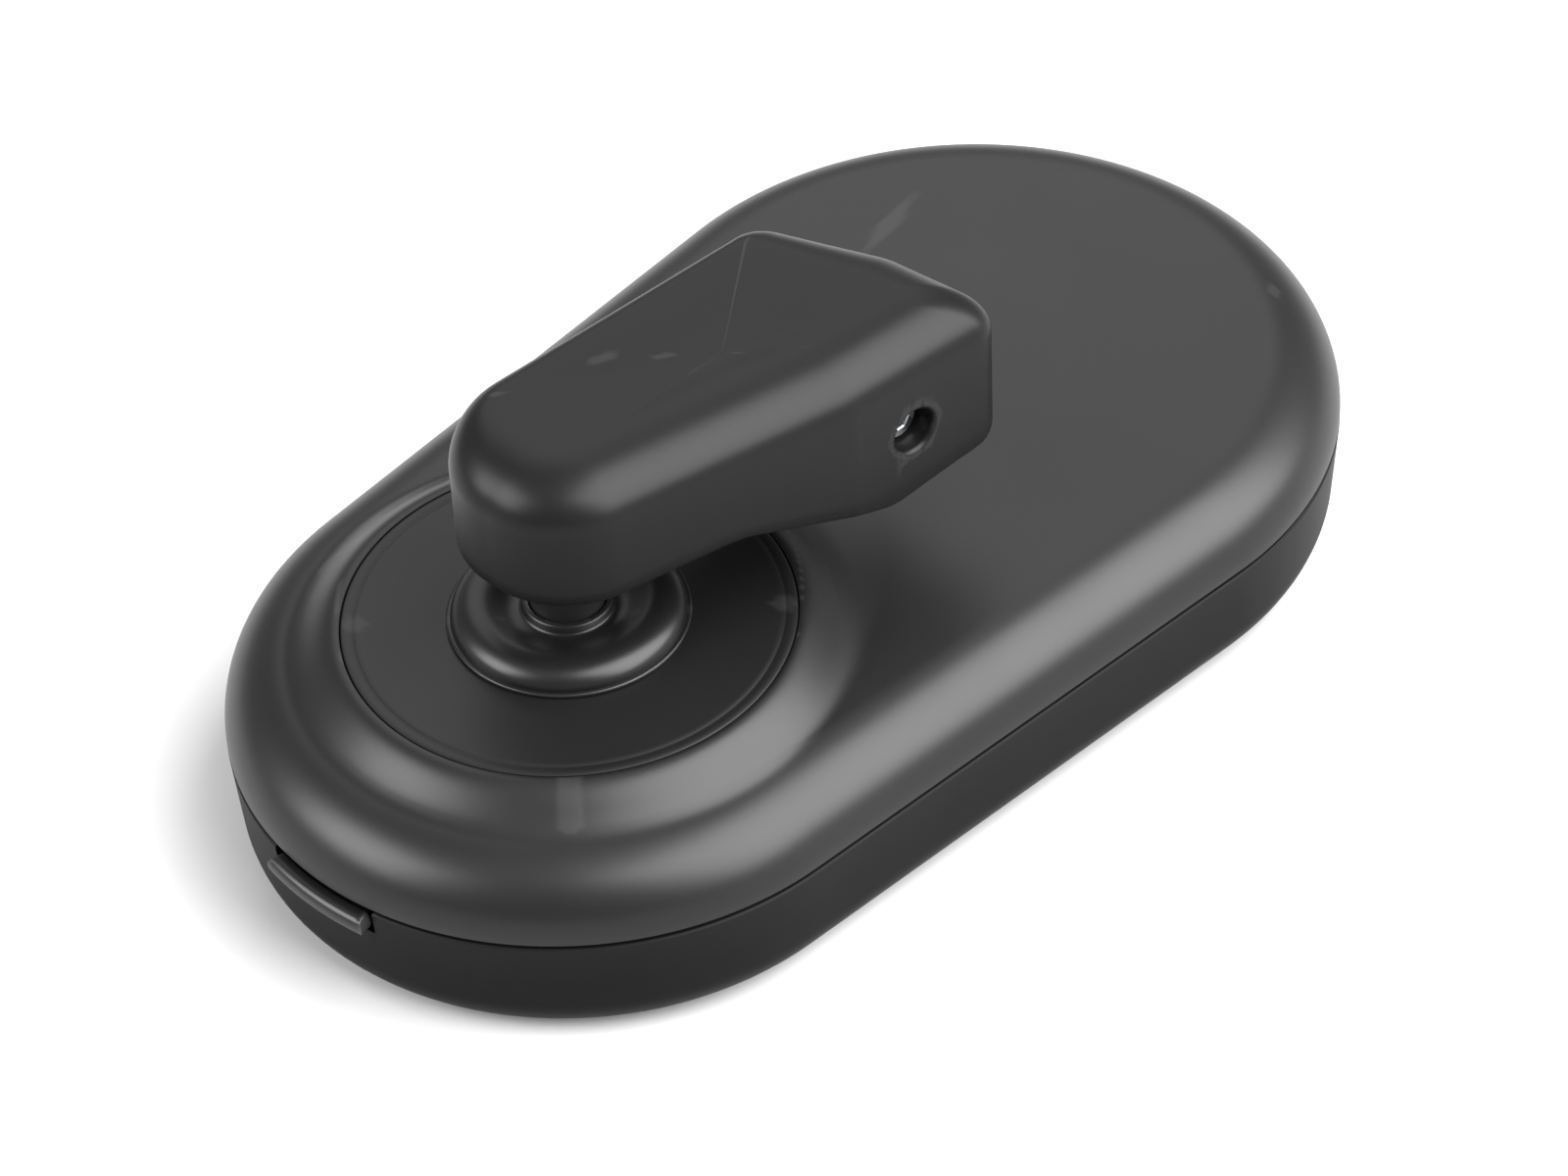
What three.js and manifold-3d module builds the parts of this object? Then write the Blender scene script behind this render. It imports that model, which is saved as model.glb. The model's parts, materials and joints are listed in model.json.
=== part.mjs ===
// Wireless thumb remote for a handlebar: an oval two-part case with a swinging, pressable paddle on a
// post, a small push button in the case wall and a coin-cell door underneath.
//
// Millimetres, +Z up. X runs along the case, from the paddle's post (-X) to the wide end (+X). The
// origin is in the middle of the flat underside.

import * as THREE from 'three';
import { mergeVertices } from 'three/addons/utils/BufferGeometryUtils.js';
import Module from 'manifold-3d';

const wasm = await Module();
wasm.setup();

// ---------------------------------------------------------------- driving dimensions

// Case: an oval of two end circles joined by long, slightly bowed sides.
const CASE_LENGTH = 62;
const NEAR_R = 16.3;
const FAR_R = 18.2;
const SIDE_BOW_R = 1500;
const CASE_WALL = 1.5;
const FLOOR = 1.3;
const BASE_HEIGHT = 6.0;
const BASE_ROUND = 2.2;
const SEAM = 0.25;
const COVER_TOP = 9.7;
const COVER_SKIN = 1.4;
const SHOULDER_WIDTH = 3.7;
const SHOULDER_HEIGHT = 3.4;

// Round boss on the cover and the flat disc set into it, both centred on the post.
const BOSS_HEIGHT = 1.4;
const BOSS_FOOT = 2.3;
const DISC_R = 10.5;
const DISC_THICKNESS = 0.8;
const DISC_LEDGE = 2.5;
const BOOT_R = 5.65;
const BOOT_NECK_R = 4.8;
const BOOT_RISE = 1.15;

// Post, paddle and the metal arm inside it.
const POST_R = 1.75;
const POST_FOOT_R = 1.3;
const NOSE_UNDERSIDE = 16.95;
const PADDLE_TOP = 23.3;
const PADDLE_EDGE_HEIGHT = 2.3;
const BELLY = { start: 4.35, reach: 12.4, drop: 2.55, rise: 0.45, corner: 2.4 };
const DISH_DEPTH = 0.25;
const ARM_THICKNESS = 1.8;
const ARM_HUB_R = 3.0;
const ARM_END_R = 2.0;
const SCREW_REACH = 14.75;
const SET_SCREW_R = 1.0;
const SET_SCREW_LENGTH = 3.3;
const HEX_R = 0.52;
const HOLE_RIM = { width: 0.2, depth: 0.25 };

// The paddle's corners seen from above, counter-clockwise, from the post's axis. Its top edge is rounded
// over, and each corner's level is where it comes to on the flat of the top.
const NOSE_BACK = { reach: -0.3, side: -0.6, r: 4.9, steps: 12 };
const NOSE_FRONT = { reach: -0.55, side: -1.22, r: 4.65, steps: 10 };
const BEND = { reach: 11.0, side: -4.73, r: 4.0, steps: 2 };
const TIP = { reach: 17.95, side: -8.05, r: 1.5, steps: 8 };
const TIP_WALL = { reach: 14.7, side: -4.2, r: 4.4, steps: 3 };
const BACK = { reach: 15.1, side: 0.95, r: 2.05, steps: 6 };
NOSE_BACK.level = { reach: 0, side: 0.7, r: 2.1 };
NOSE_FRONT.level = { reach: -0.55, side: -1.22, r: 1.6 };
BEND.level = { reach: 11.0, side: -4.73, r: 1.0 };
TIP.level = { reach: 15.26, side: -5.42, r: 0.8 };
TIP_WALL.level = { reach: 14.6, side: -4.2, r: 1.2 };
BACK.level = { reach: 13.7, side: 1.1, r: 0.8 };

// Tilting cradle, its bracket and trunnion pins.
const TILT_AXIS_Z = 7.2;
const TILT_PIN_R = 0.8;
const CRADLE = { x: 3.0, y: 3.2, bottom: 4.95, top: 9.3 };
const CRADLE_ARM = { reach: 6.3, y: 3.0, bottom: 5.9, top: 6.9 };
const BRACKET = { x: 2.0, ear: 1.0, plate: 0.5, plateX: 3.3, top: 8.7 };
const CAM = { reach: 6.5, half: 0.7, bottom: 3.6, top: 4.3 };
const SWING = 5;

// Circuit board and what stands on it.
const BOARD_BOTTOM = 2.0;
const BOARD_THICKNESS = 0.8;
const BOARD_TO_CELL = 3;
const BOARD_MARGIN = 0.8;

// Coin cell, 20 mm by 3.2 mm, its holder and its door.
const CELL_R = 10;
const CELL_THICKNESS = 3.2;
const CELL_BOTTOM = 2.35;
const WELL_WALL = 0.7;
const DOOR_PLATE = 0.9;
const DOOR_TOP = 2.2;
const DOOR_LUG = 1.05;
const LUG_THICKNESS = 0.45;
const SEAL_WIRE_R = 0.18;
const COIN_SLOT = { r: 14, width: 1.6, depth: 1.1 };

// Fasteners.
const CASE_SCREW = { head: 1.5, headHeight: 0.9, shank: 0.8, length: 5.2 };
const CASE_SCREW_SEAT = 1.1;
const PILLAR_R = 1.7;
const NEAR_SCREW = { ring: 11.6, angle: 115 };
const FAR_SCREW = { ring: 14.2, angle: 50 };
const INSERT = { toWell: 1.4, r: 2.75, bore: 1.65, height: 4.2, wall: 0.85 };

// Push button in the near end wall.
const BUTTON = { left: -2.9, right: 3.2, proud: 0.6, bottom: 4.8, top: 5.8, travel: 0.6 };

// Clearances between neighbouring pieces.
const FIT = 0.1;
const RUN = 0.15;
const AIR = 0.3;

// ---------------------------------------------------------------- places worked out from them

const NEAR_X = NEAR_R - CASE_LENGTH / 2;
const FAR_X = CASE_LENGTH / 2 - FAR_R;
const COVER_RIM = BASE_HEIGHT + SEAM;
const CEILING = COVER_TOP - COVER_SKIN;
const BOSS_TOP = COVER_TOP + BOSS_HEIGHT;
const DISC_SEAT = BOSS_TOP - DISC_THICKNESS - 0.05;
const BOARD_TOP = BOARD_BOTTOM + BOARD_THICKNESS;
const ON_BOARD = BOARD_TOP + 0.05;
const BOARD_END_X = FAR_X - CELL_R - BOARD_TO_CELL;
const DEG = Math.PI / 180;
const BIG = 60;

const FINISH = {
  shell: { color: 0x2b2b2c, roughness: 0.42, metalness: 0 },
  rubber: { color: 0x232324, roughness: 0.6, metalness: 0 },
  gasket: { color: 0x0b0b0b, roughness: 0.8, metalness: 0 },
  steel: { color: 0xb9bbbd, roughness: 0.3, metalness: 1 },
  black_steel: { color: 0x1c1c1d, roughness: 0.4, metalness: 0.6 },
  brass: { color: 0xb08d46, roughness: 0.35, metalness: 1 },
  aluminium: { color: 0x8d9093, roughness: 0.4, metalness: 1 },
  nylon: { color: 0x77736a, roughness: 0.6, metalness: 0 },
  board: { color: 0x1d4a2c, roughness: 0.5, metalness: 0 },
};

// ---------------------------------------------------------------- solids

function solid(geometry) {
  geometry.deleteAttribute('normal');
  geometry.deleteAttribute('uv');
  const welded = mergeVertices(geometry, 1e-5);
  const index = welded.index.array;
  const triangles = [];
  for (let i = 0; i < index.length; i += 3) {
    const [a, b, c] = [index[i], index[i + 1], index[i + 2]];
    if (a !== b && b !== c && c !== a) triangles.push(a, b, c);
  }
  return new wasm.Manifold(new wasm.Mesh({
    numProp: 3,
    vertProperties: new Float32Array(welded.attributes.position.array),
    triVerts: new Uint32Array(triangles),
  }));
}

function join(...solids) {
  return solids.reduce((all, next) => all.add(next));
}

function cut(body, ...tools) {
  return tools.reduce((left, tool) => left.subtract(tool), body);
}

function block(x0, x1, y0, y1, z0, z1) {
  const box = new THREE.BoxGeometry(x1 - x0, y1 - y0, z1 - z0);
  return solid(box.translate((x0 + x1) / 2, (y0 + y1) / 2, (z0 + z1) / 2));
}

function rod(x, y, z0, z1, r, sides = 24) {
  const cylinder = new THREE.CylinderGeometry(r, r, z1 - z0, sides).rotateX(Math.PI / 2);
  return solid(cylinder.translate(x, y, (z0 + z1) / 2));
}

// A turned solid about the Z line through (x, y). The profile's [radius, height] points run
// counter-clockwise, so up the outside.
function turned(x, y, profile, sides = 32) {
  const points = profile.map(([r, z]) => new THREE.Vector2(r, z));
  return solid(new THREE.LatheGeometry(points, sides).rotateX(Math.PI / 2).translate(x, y, 0));
}

function ring(x, y, inner, outer, z0, z1, sides = 32) {
  const profile = [[inner, z0], [outer, z0], [outer, z1], [inner, z1], [inner, z0]];
  return turned(x, y, profile, sides);
}

function prism(points, z0, z1) {
  const shape = new THREE.Shape(points);
  const geometry = new THREE.ExtrudeGeometry(shape, { depth: z1 - z0, bevelEnabled: false });
  return solid(geometry.translate(0, 0, z0));
}

function atHeight(points, z) {
  return points.map(({ x, y }) => new THREE.Vector3(x, y, z));
}

// A solid through rings of equally many points, counter-clockwise and from the lowest to the last on
// top. Each end is closed by a fan about its middle.
function stack(rings) {
  const count = rings[0].length;
  const points = rings.flat();
  const index = [];
  for (let low = 0; low + count < points.length; low += count) {
    for (let i = 0; i < count; i += 1) {
      const j = (i + 1) % count;
      const high = low + count;
      index.push(low + i, low + j, high + j, low + i, high + j, high + i);
    }
  }
  for (const [ends, start, turn] of [[rings[0], 0, 1], [rings.at(-1), points.length - count, 0]]) {
    points.push(ends.reduce((sum, p) => sum.add(p), new THREE.Vector3()).divideScalar(count));
    for (let i = 0; i < count; i += 1) {
      index.push(start + ((i + turn) % count), start + ((i + 1 - turn) % count), points.length - 1);
    }
  }
  return solid(new THREE.BufferGeometry().setFromPoints(points).setIndex(index));
}

// A slab whose top edge is rounded over the given width and height; it is cut flat at z0.
function roundedSlab(points, z0, z1, width, height, steps) {
  const geometry = new THREE.ExtrudeGeometry(new THREE.Shape(points), {
    depth: z1 - z0,
    bevelThickness: height,
    bevelSize: width,
    bevelOffset: -width,
    bevelSegments: steps,
  });
  const slab = solid(geometry.translate(0, 0, z0 - height));
  return cut(slab, block(-BIG, BIG, -BIG, BIG, z0 - BIG, z0));
}

function mirrorZ(body, height) {
  const mesh = body.getMesh();
  const vertices = new Float32Array(mesh.vertProperties);
  const triangles = new Uint32Array(mesh.triVerts);
  for (let i = 2; i < vertices.length; i += 3) vertices[i] = height - vertices[i];
  triangles.reverse();
  return new wasm.Manifold(new wasm.Mesh({ numProp: 3, vertProperties: vertices, triVerts: triangles }));
}

// ---------------------------------------------------------------- outlines

function arc(x, y, r, from, to, steps) {
  const points = [];
  for (let i = 0; i <= steps; i += 1) {
    const angle = from + ((to - from) * i) / steps;
    points.push(new THREE.Vector2(x + r * Math.cos(angle), y + r * Math.sin(angle)));
  }
  return points;
}

// The case's outline, moved in by inset. Each side is a wide arc tangent to both end circles.
function oval(inset = 0, steps = 16) {
  const span = FAR_X - NEAR_X;
  const toNear = SIDE_BOW_R - NEAR_R;
  const toFar = SIDE_BOW_R - FAR_R;
  const along = (toNear * toNear - toFar * toFar + span * span) / (2 * span);
  const aside = Math.sqrt(toNear * toNear - along * along);
  const nearAngle = Math.atan2(aside, -along);
  const farAngle = Math.atan2(aside, span - along);
  const bow = SIDE_BOW_R - inset;
  const bowX = NEAR_X + along;
  return [
    ...arc(FAR_X, 0, FAR_R - inset, -farAngle, farAngle, steps).slice(1),
    ...arc(bowX, -aside, bow, farAngle, nearAngle, 4).slice(1),
    ...arc(NEAR_X, 0, NEAR_R - inset, nearAngle, 2 * Math.PI - nearAngle, steps).slice(1),
    ...arc(bowX, aside, bow, -nearAngle, -farAngle, 4).slice(1),
  ];
}

// The outline round a counter-clockwise list of circles, each shrunk by inset.
function hullOfCircles(circles, inset = 0, step = 12) {
  const normals = circles.map((a, i) => {
    const b = circles[(i + 1) % circles.length];
    const distance = Math.hypot(b.x - a.x, b.y - a.y);
    return Math.atan2(b.y - a.y, b.x - a.x) - Math.PI / 2 + Math.asin((a.r - b.r) / distance);
  });
  return circles.flatMap((circle, i) => {
    const from = normals[(i + circles.length - 1) % circles.length];
    let to = normals[i];
    while (to < from) to += 2 * Math.PI;
    const steps = circle.steps ?? Math.max(2, Math.round((to - from) / (step * DEG)));
    return arc(circle.x, circle.y, circle.r - inset, from, to, steps);
  });
}

// A slice of a ring about the post, between two offsets from the case's long axis.
function wallSector(inner, outer, left, right, z0, z1) {
  const middle = (inner + outer) / 2;
  const from = Math.PI - Math.asin(right / middle);
  const to = Math.PI - Math.asin(left / middle);
  const points = [
    ...arc(NEAR_X, 0, outer, from, to, 8),
    ...arc(NEAR_X, 0, inner, to, from, 8),
  ];
  return prism(points, z0, z1);
}

// ---------------------------------------------------------------- scene graph

const remote = new THREE.Group();

function add(name, body, finish, parent = remote) {
  const data = body.getMesh();
  const geometry = new THREE.BufferGeometry();
  geometry.setAttribute('position', new THREE.BufferAttribute(data.vertProperties, 3));
  geometry.setIndex(new THREE.BufferAttribute(data.triVerts, 1));
  geometry.computeVertexNormals();
  const mesh = new THREE.Mesh(geometry, new THREE.MeshStandardMaterial(FINISH[finish]));
  mesh.name = name;
  parent.add(mesh);
  return mesh;
}

function group(x, y, z) {
  const holder = new THREE.Group();
  holder.position.set(x, y, z);
  remote.add(holder);
  return holder;
}

// ---------------------------------------------------------------- case

function polar(x, radius, degrees) {
  return { x: x + radius * Math.cos(degrees * DEG), y: radius * Math.sin(degrees * DEG) };
}

const screwPlaces = [
  polar(NEAR_X, NEAR_SCREW.ring, NEAR_SCREW.angle),
  polar(NEAR_X, NEAR_SCREW.ring, -NEAR_SCREW.angle),
  polar(FAR_X, FAR_SCREW.ring, FAR_SCREW.angle),
  polar(FAR_X, FAR_SCREW.ring, -FAR_SCREW.angle),
];

const DOOR_BORE = CELL_R + 4 * FIT;
const DOOR_PLUG_R = DOOR_BORE - 2.5 * FIT;
const DOOR_R = DOOR_PLUG_R + 1.25;
const DOOR_RECESS_R = DOOR_R + 2 * FIT;
const WELL_R = DOOR_PLUG_R + DOOR_LUG + AIR;
const INSERT_X = FAR_X - WELL_R - WELL_WALL - INSERT.toWell - INSERT.wall - INSERT.r;
const LEDGE_BOTTOM = DOOR_PLATE + FIT;
const LEDGE_TOP = DOOR_TOP - LUG_THICKNESS - RUN;
const LUG_ANGLES = [30, 150, 270];
const LUG_SWEEP = 30;
const UNLOCK_TURN = 40;
const RABBET = 0.8;
const RABBET_FLOOR = BASE_HEIGHT - 0.4;
const WINDOW_HALF = 4.5;

function lugSector(inner, outer, middle, sweep, z0, z1) {
  const from = (middle - sweep / 2) * DEG;
  const to = (middle + sweep / 2) * DEG;
  const points = [
    ...arc(FAR_X, 0, outer, from, to, 4),
    ...arc(FAR_X, 0, inner, to, from, 4),
  ];
  return prism(points, z0, z1);
}

function baseShell() {
  const outside = mirrorZ(roundedSlab(oval(), 0, BASE_HEIGHT, BASE_ROUND, BASE_ROUND, 4), BASE_HEIGHT);
  let shell = cut(outside, prism(oval(CASE_WALL), FLOOR, BIG));
  shell = cut(shell, prism(oval(RABBET), RABBET_FLOOR, BIG));

  const wellTop = RABBET_FLOOR - AIR;
  shell = join(shell, rod(FAR_X, 0, FLOOR / 2, wellTop, WELL_R + WELL_WALL, 40));
  shell = cut(shell,
    rod(FAR_X, 0, -1, LEDGE_BOTTOM, DOOR_RECESS_R, 40),
    rod(FAR_X, 0, -1, BIG, DOOR_BORE, 40),
    rod(FAR_X, 0, LEDGE_TOP, BIG, WELL_R, 40),
    block(BOARD_END_X, FAR_X - CELL_R + 1, -WINDOW_HALF, WINDOW_HALF, BOARD_TOP, BIG));
  for (const angle of LUG_ANGLES) {
    const middle = angle + UNLOCK_TURN;
    shell = cut(shell, lugSector(DOOR_PLUG_R - 1, WELL_R - FIT, middle, LUG_SWEEP + 6, 0.5, LEDGE_TOP + 1));
  }

  for (const place of screwPlaces) {
    const head = CASE_SCREW.head + 2 * FIT;
    shell = join(shell, rod(place.x, place.y, FLOOR / 2, CASE_SCREW_SEAT + FLOOR, head + 0.7, 20));
    shell = cut(shell,
      rod(place.x, place.y, -1, CASE_SCREW_SEAT, head, 20),
      rod(place.x, place.y, -1, BIG, CASE_SCREW.shank + 2 * FIT, 16));
  }

  shell = join(shell, rod(INSERT_X, 0, FLOOR / 2, INSERT.height + INSERT.wall, INSERT.r + INSERT.wall));
  shell = cut(shell, rod(INSERT_X, 0, -1, INSERT.height + FIT, INSERT.r + FIT));

  for (const [x, y] of [[NEAR_X - 9.5, -6], [NEAR_X - 9.5, 6], [NEAR_X + 4, -12], [NEAR_X + 4, 12]]) {
    shell = join(shell, rod(x, y, FLOOR / 2, BOARD_BOTTOM - 0.05, 1.2, 12));
  }

  const notch = block(NEAR_X - NEAR_R - 1, NEAR_X - NEAR_R + 3,
    BUTTON.left - AIR, BUTTON.right + AIR, BUTTON.bottom - FIT, BIG);
  return cut(shell, notch);
}

function topCover() {
  const outside = roundedSlab(oval(), COVER_RIM, COVER_TOP, SHOULDER_WIDTH, SHOULDER_HEIGHT, 4);
  const bossEdge = DISC_R + FIT;
  const bossFoot = bossEdge + BOSS_FOOT;
  const boss = turned(NEAR_X, 0, [
    [0, CEILING + 0.4],
    [bossFoot, CEILING + 0.4],
    [bossFoot, COVER_TOP - 0.15],
    [bossFoot - 0.2 * BOSS_FOOT, COVER_TOP + 0.08 * BOSS_HEIGHT],
    [bossFoot - 0.42 * BOSS_FOOT, COVER_TOP + 0.32 * BOSS_HEIGHT],
    [bossFoot - 0.65 * BOSS_FOOT, COVER_TOP + 0.72 * BOSS_HEIGHT],
    [bossFoot - 0.85 * BOSS_FOOT, COVER_TOP + 0.95 * BOSS_HEIGHT],
    [bossEdge + 0.05, BOSS_TOP],
    [0, BOSS_TOP],
  ], 48);
  const inside = roundedSlab(oval(CASE_WALL), 0, CEILING, SHOULDER_WIDTH - 1, SHOULDER_HEIGHT - 1.2, 3);
  const bossRoom = rod(NEAR_X, 0, 0, DISC_SEAT - 0.95, bossEdge - 1.3, 36);

  let cover = cut(join(outside, boss),
    inside,
    bossRoom,
    rod(NEAR_X, 0, DISC_SEAT, BIG, bossEdge, 48),
    rod(NEAR_X, 0, 0, BIG, DISC_R - DISC_LEDGE, 36));

  for (const place of screwPlaces) {
    const bottom = CASE_SCREW_SEAT + FLOOR + FIT;
    const boreTop = CASE_SCREW_SEAT + CASE_SCREW.length + 0.2;
    cover = join(cover, rod(place.x, place.y, bottom, CEILING + 0.5, PILLAR_R, 16));
    cover = cut(cover, rod(place.x, place.y, 0, boreTop, CASE_SCREW.shank + FIT, 16));
  }
  return cover;
}

function caseGasket() {
  const outline = prism(oval(RABBET + 0.05), RABBET_FLOOR + 0.05, COVER_RIM - 0.05);
  return cut(outline, prism(oval(CASE_WALL - 0.05), 0, BIG));
}

function caseScrew() {
  const head = CASE_SCREW.headHeight;
  const body = turned(0, 0, [
    [0, 0],
    [CASE_SCREW.head - 0.25, 0],
    [CASE_SCREW.head, 0.25],
    [CASE_SCREW.head, head],
    [CASE_SCREW.shank, head],
    [CASE_SCREW.shank, CASE_SCREW.length - 0.5],
    [CASE_SCREW.shank * 0.5, CASE_SCREW.length],
    [0, CASE_SCREW.length],
  ], 16);
  return cut(body, rod(0, 0, -1, 0.55, 0.8, 6));
}

add('base_shell', baseShell(), 'shell');
add('top_cover', topCover(), 'shell');
add('case_gasket', caseGasket(), 'gasket');
screwPlaces.forEach((place, i) => {
  add(`case_screw_${i + 1}`, caseScrew(), 'black_steel', group(place.x, place.y, CASE_SCREW_SEAT - 0.95));
});

// ---------------------------------------------------------------- disc and boot

function bezelDisc() {
  return turned(NEAR_X, 0, [
    [BOOT_NECK_R + FIT, DISC_SEAT + 0.05],
    [DISC_R, DISC_SEAT + 0.05],
    [DISC_R, BOSS_TOP - 0.1],
    [DISC_R - 0.1, BOSS_TOP],
    [BOOT_NECK_R + FIT, BOSS_TOP],
    [BOOT_NECK_R + FIT, DISC_SEAT + 0.05],
  ], 40);
}

// The boot clears the post by the way the post leans at full press.
const BOOT_BORE = POST_R + 0.65;

function boot() {
  const under = DISC_SEAT;
  const lip = BOSS_TOP + 0.05;
  return turned(NEAR_X, 0, [
    [BOOT_BORE + 1.4, under - 0.5],
    [BOOT_R, under - 0.5],
    [BOOT_R, under],
    [BOOT_NECK_R, under],
    [BOOT_NECK_R, lip],
    [BOOT_R, lip],
    [BOOT_R - 0.1, lip + 0.2 * BOOT_RISE],
    [BOOT_R - 0.55, lip + 0.7 * BOOT_RISE],
    [BOOT_R - 1.25, lip + BOOT_RISE],
    [BOOT_BORE + 1.1, lip + 0.9 * BOOT_RISE],
    [BOOT_BORE + 0.3, lip + 0.3 * BOOT_RISE],
    [BOOT_BORE, lip],
    [BOOT_BORE, lip - 0.45],
    [BOOT_BORE + 0.5, lip - 0.6],
    [BOOT_BORE + 1.4, under - 0.5],
  ], 32);
}

add('bezel_disc', bezelDisc(), 'shell');
add('boot', boot(), 'rubber');

// ---------------------------------------------------------------- tilting cradle

const EAR_IN = CRADLE.y + AIR;
const EAR_OUT = EAR_IN + BRACKET.ear;
const PLATE_TOP = ON_BOARD + BRACKET.plate;

function crossRod(y0, y1, z, r, sides = 16) {
  const cylinder = new THREE.CylinderGeometry(r, r, y1 - y0, sides);
  return solid(cylinder.translate(NEAR_X, (y0 + y1) / 2, z));
}

function pivotBracket() {
  const [west, east] = [NEAR_X - BRACKET.x, NEAR_X + BRACKET.x];
  const foot = BRACKET.plateX;
  const plate = block(NEAR_X - foot, NEAR_X + foot, -EAR_OUT, EAR_OUT, ON_BOARD, PLATE_TOP);
  const ears = [1, -1].map((side) => {
    const [y0, y1] = [side * EAR_IN, side * EAR_OUT].sort((a, b) => a - b);
    return block(west, east, y0, y1, ON_BOARD, BRACKET.top);
  });
  return cut(join(plate, ...ears),
    rod(NEAR_X, 0, 0, PLATE_TOP + FIT, POST_R + 0.85),
    crossRod(-BIG, BIG, TILT_AXIS_Z, TILT_PIN_R + FIT / 2));
}

function tiltCradle() {
  const core = block(NEAR_X - CRADLE.x, NEAR_X + CRADLE.x, -CRADLE.y, CRADLE.y,
    CRADLE.bottom, CRADLE.top);
  const press = block(NEAR_X, NEAR_X + CRADLE_ARM.reach, -CRADLE_ARM.y, CRADLE_ARM.y,
    CRADLE_ARM.bottom, CRADLE_ARM.top);
  const tab = block(NEAR_X - CRADLE.x - 2.2, NEAR_X, -0.8, 0.8, CRADLE.bottom, CRADLE.bottom + 1);
  const peg = rod(NEAR_X - CRADLE.x - 1.5, 0, CRADLE.bottom - 0.55, CRADLE.bottom + 0.5, 0.55, 12);
  const pinHole = POST_R + 0.3;
  return cut(join(core, press, tab, peg),
    rod(NEAR_X, 0, 0, BIG, POST_R + RUN, 32),
    crossRod(pinHole, BIG, TILT_AXIS_Z, TILT_PIN_R + FIT),
    crossRod(-BIG, -pinHole, TILT_AXIS_Z, TILT_PIN_R + FIT));
}

function tiltPin() {
  const length = EAR_OUT - POST_R - 0.45;
  return solid(new THREE.CylinderGeometry(TILT_PIN_R, TILT_PIN_R, length, 16));
}

add('pivot_bracket', pivotBracket(), 'steel');
add('tilt_cradle', tiltCradle(), 'nylon');
const pinMiddle = (EAR_OUT + POST_R + 0.45) / 2;
add('tilt_pin_left', tiltPin(), 'steel', group(NEAR_X, pinMiddle, TILT_AXIS_Z));
add('tilt_pin_right', tiltPin(), 'steel', group(NEAR_X, -pinMiddle, TILT_AXIS_Z));

// ---------------------------------------------------------------- springs

function wire(curve, r, steps, sides = 6) {
  const section = new THREE.Shape(arc(0, 0, r, 0, 2 * Math.PI, sides).slice(1));
  return solid(new THREE.ExtrudeGeometry(section, { steps, extrudePath: curve, bevelEnabled: false }));
}

const PRESS_X = NEAR_X + CRADLE_ARM.reach - 1.6;
const PRESS_SPRING = { y: 1.8, r: 0.95, wire: 0.16, turns: 4 };

class Helix extends THREE.Curve {
  constructor(x, y, r, z0, z1, turns) {
    super();
    Object.assign(this, { x, y, r, z0, z1, turns });
  }

  getPoint(t) {
    const angle = 2 * Math.PI * this.turns * t;
    const height = this.z0 + (this.z1 - this.z0) * t;
    const x = this.x + this.r * Math.cos(angle);
    return new THREE.Vector3(x, this.y + this.r * Math.sin(angle), height);
  }
}

function pressSpring() {
  const bottom = ON_BOARD + 2 * PRESS_SPRING.wire;
  const top = CRADLE_ARM.bottom - 2 * PRESS_SPRING.wire;
  const { y, r, turns } = PRESS_SPRING;
  return wire(new Helix(PRESS_X, y, r, bottom, top, turns), PRESS_SPRING.wire, turns * 12);
}

// A hairpin round the post: its legs close on the cradle's peg and let the cam's tab swing between
// their ends.
function centringSpring() {
  const z = (CAM.top + CRADLE.bottom) / 2;
  const endX = NEAR_X - CAM.reach + 0.6;
  const pegX = NEAR_X - CRADLE.x - 1.5;
  const path = [
    new THREE.Vector2(endX, 1.35),
    new THREE.Vector2(pegX, 0.95),
    ...arc(NEAR_X, 0, POST_R + 0.6, 0.75 * Math.PI, -0.75 * Math.PI, 8),
    new THREE.Vector2(pegX, -0.95),
    new THREE.Vector2(endX, -1.35),
  ];
  return wire(new THREE.CatmullRomCurve3(atHeight(path, z)), 0.18, 36);
}

add('press_spring', pressSpring(), 'steel');
add('centring_spring', centringSpring(), 'steel');

// ---------------------------------------------------------------- post, cam and clip

const ARM_BOTTOM = NOSE_UNDERSIDE + AIR;
const ARM_TOP = ARM_BOTTOM + ARM_THICKNESS;
const COLLAR_BOTTOM = CRADLE.top + 0.35;

function post() {
  const foot = CAM.bottom - 0.55;
  return turned(NEAR_X, 0, [
    [0, foot],
    [POST_FOOT_R, foot],
    [POST_FOOT_R, CAM.top + 0.05],
    [POST_R, CAM.top + 0.05],
    [POST_R, COLLAR_BOTTOM],
    [POST_R + 0.4, COLLAR_BOTTOM],
    [POST_R + 0.4, COLLAR_BOTTOM + 0.4],
    [POST_R, COLLAR_BOTTOM + 0.6],
    [POST_R, ARM_TOP - 0.3],
    [POST_R - 0.3, ARM_TOP],
    [0, ARM_TOP],
  ], 32);
}

function switchCam() {
  const hub = rod(NEAR_X, 0, CAM.bottom, CAM.top, POST_R + 0.45);
  const arm = block(NEAR_X - CAM.reach, NEAR_X, -CAM.half, CAM.half, CAM.bottom, CAM.top);
  const end = NEAR_X - CAM.reach;
  const tab = block(end, end + 0.7, -0.5, 0.5, CAM.bottom, CRADLE.bottom - 0.05);
  return cut(join(hub, arm, tab), rod(NEAR_X, 0, 0, BIG, POST_FOOT_R + FIT / 2, 32));
}

function retainingClip() {
  const z = CAM.bottom - 0.4;
  const clip = ring(NEAR_X, 0, POST_FOOT_R + FIT / 2, POST_R + 0.25, z, z + 0.3, 20);
  return cut(clip, block(NEAR_X, NEAR_X + 3, -0.6, 0.6, 0, BIG));
}

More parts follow.
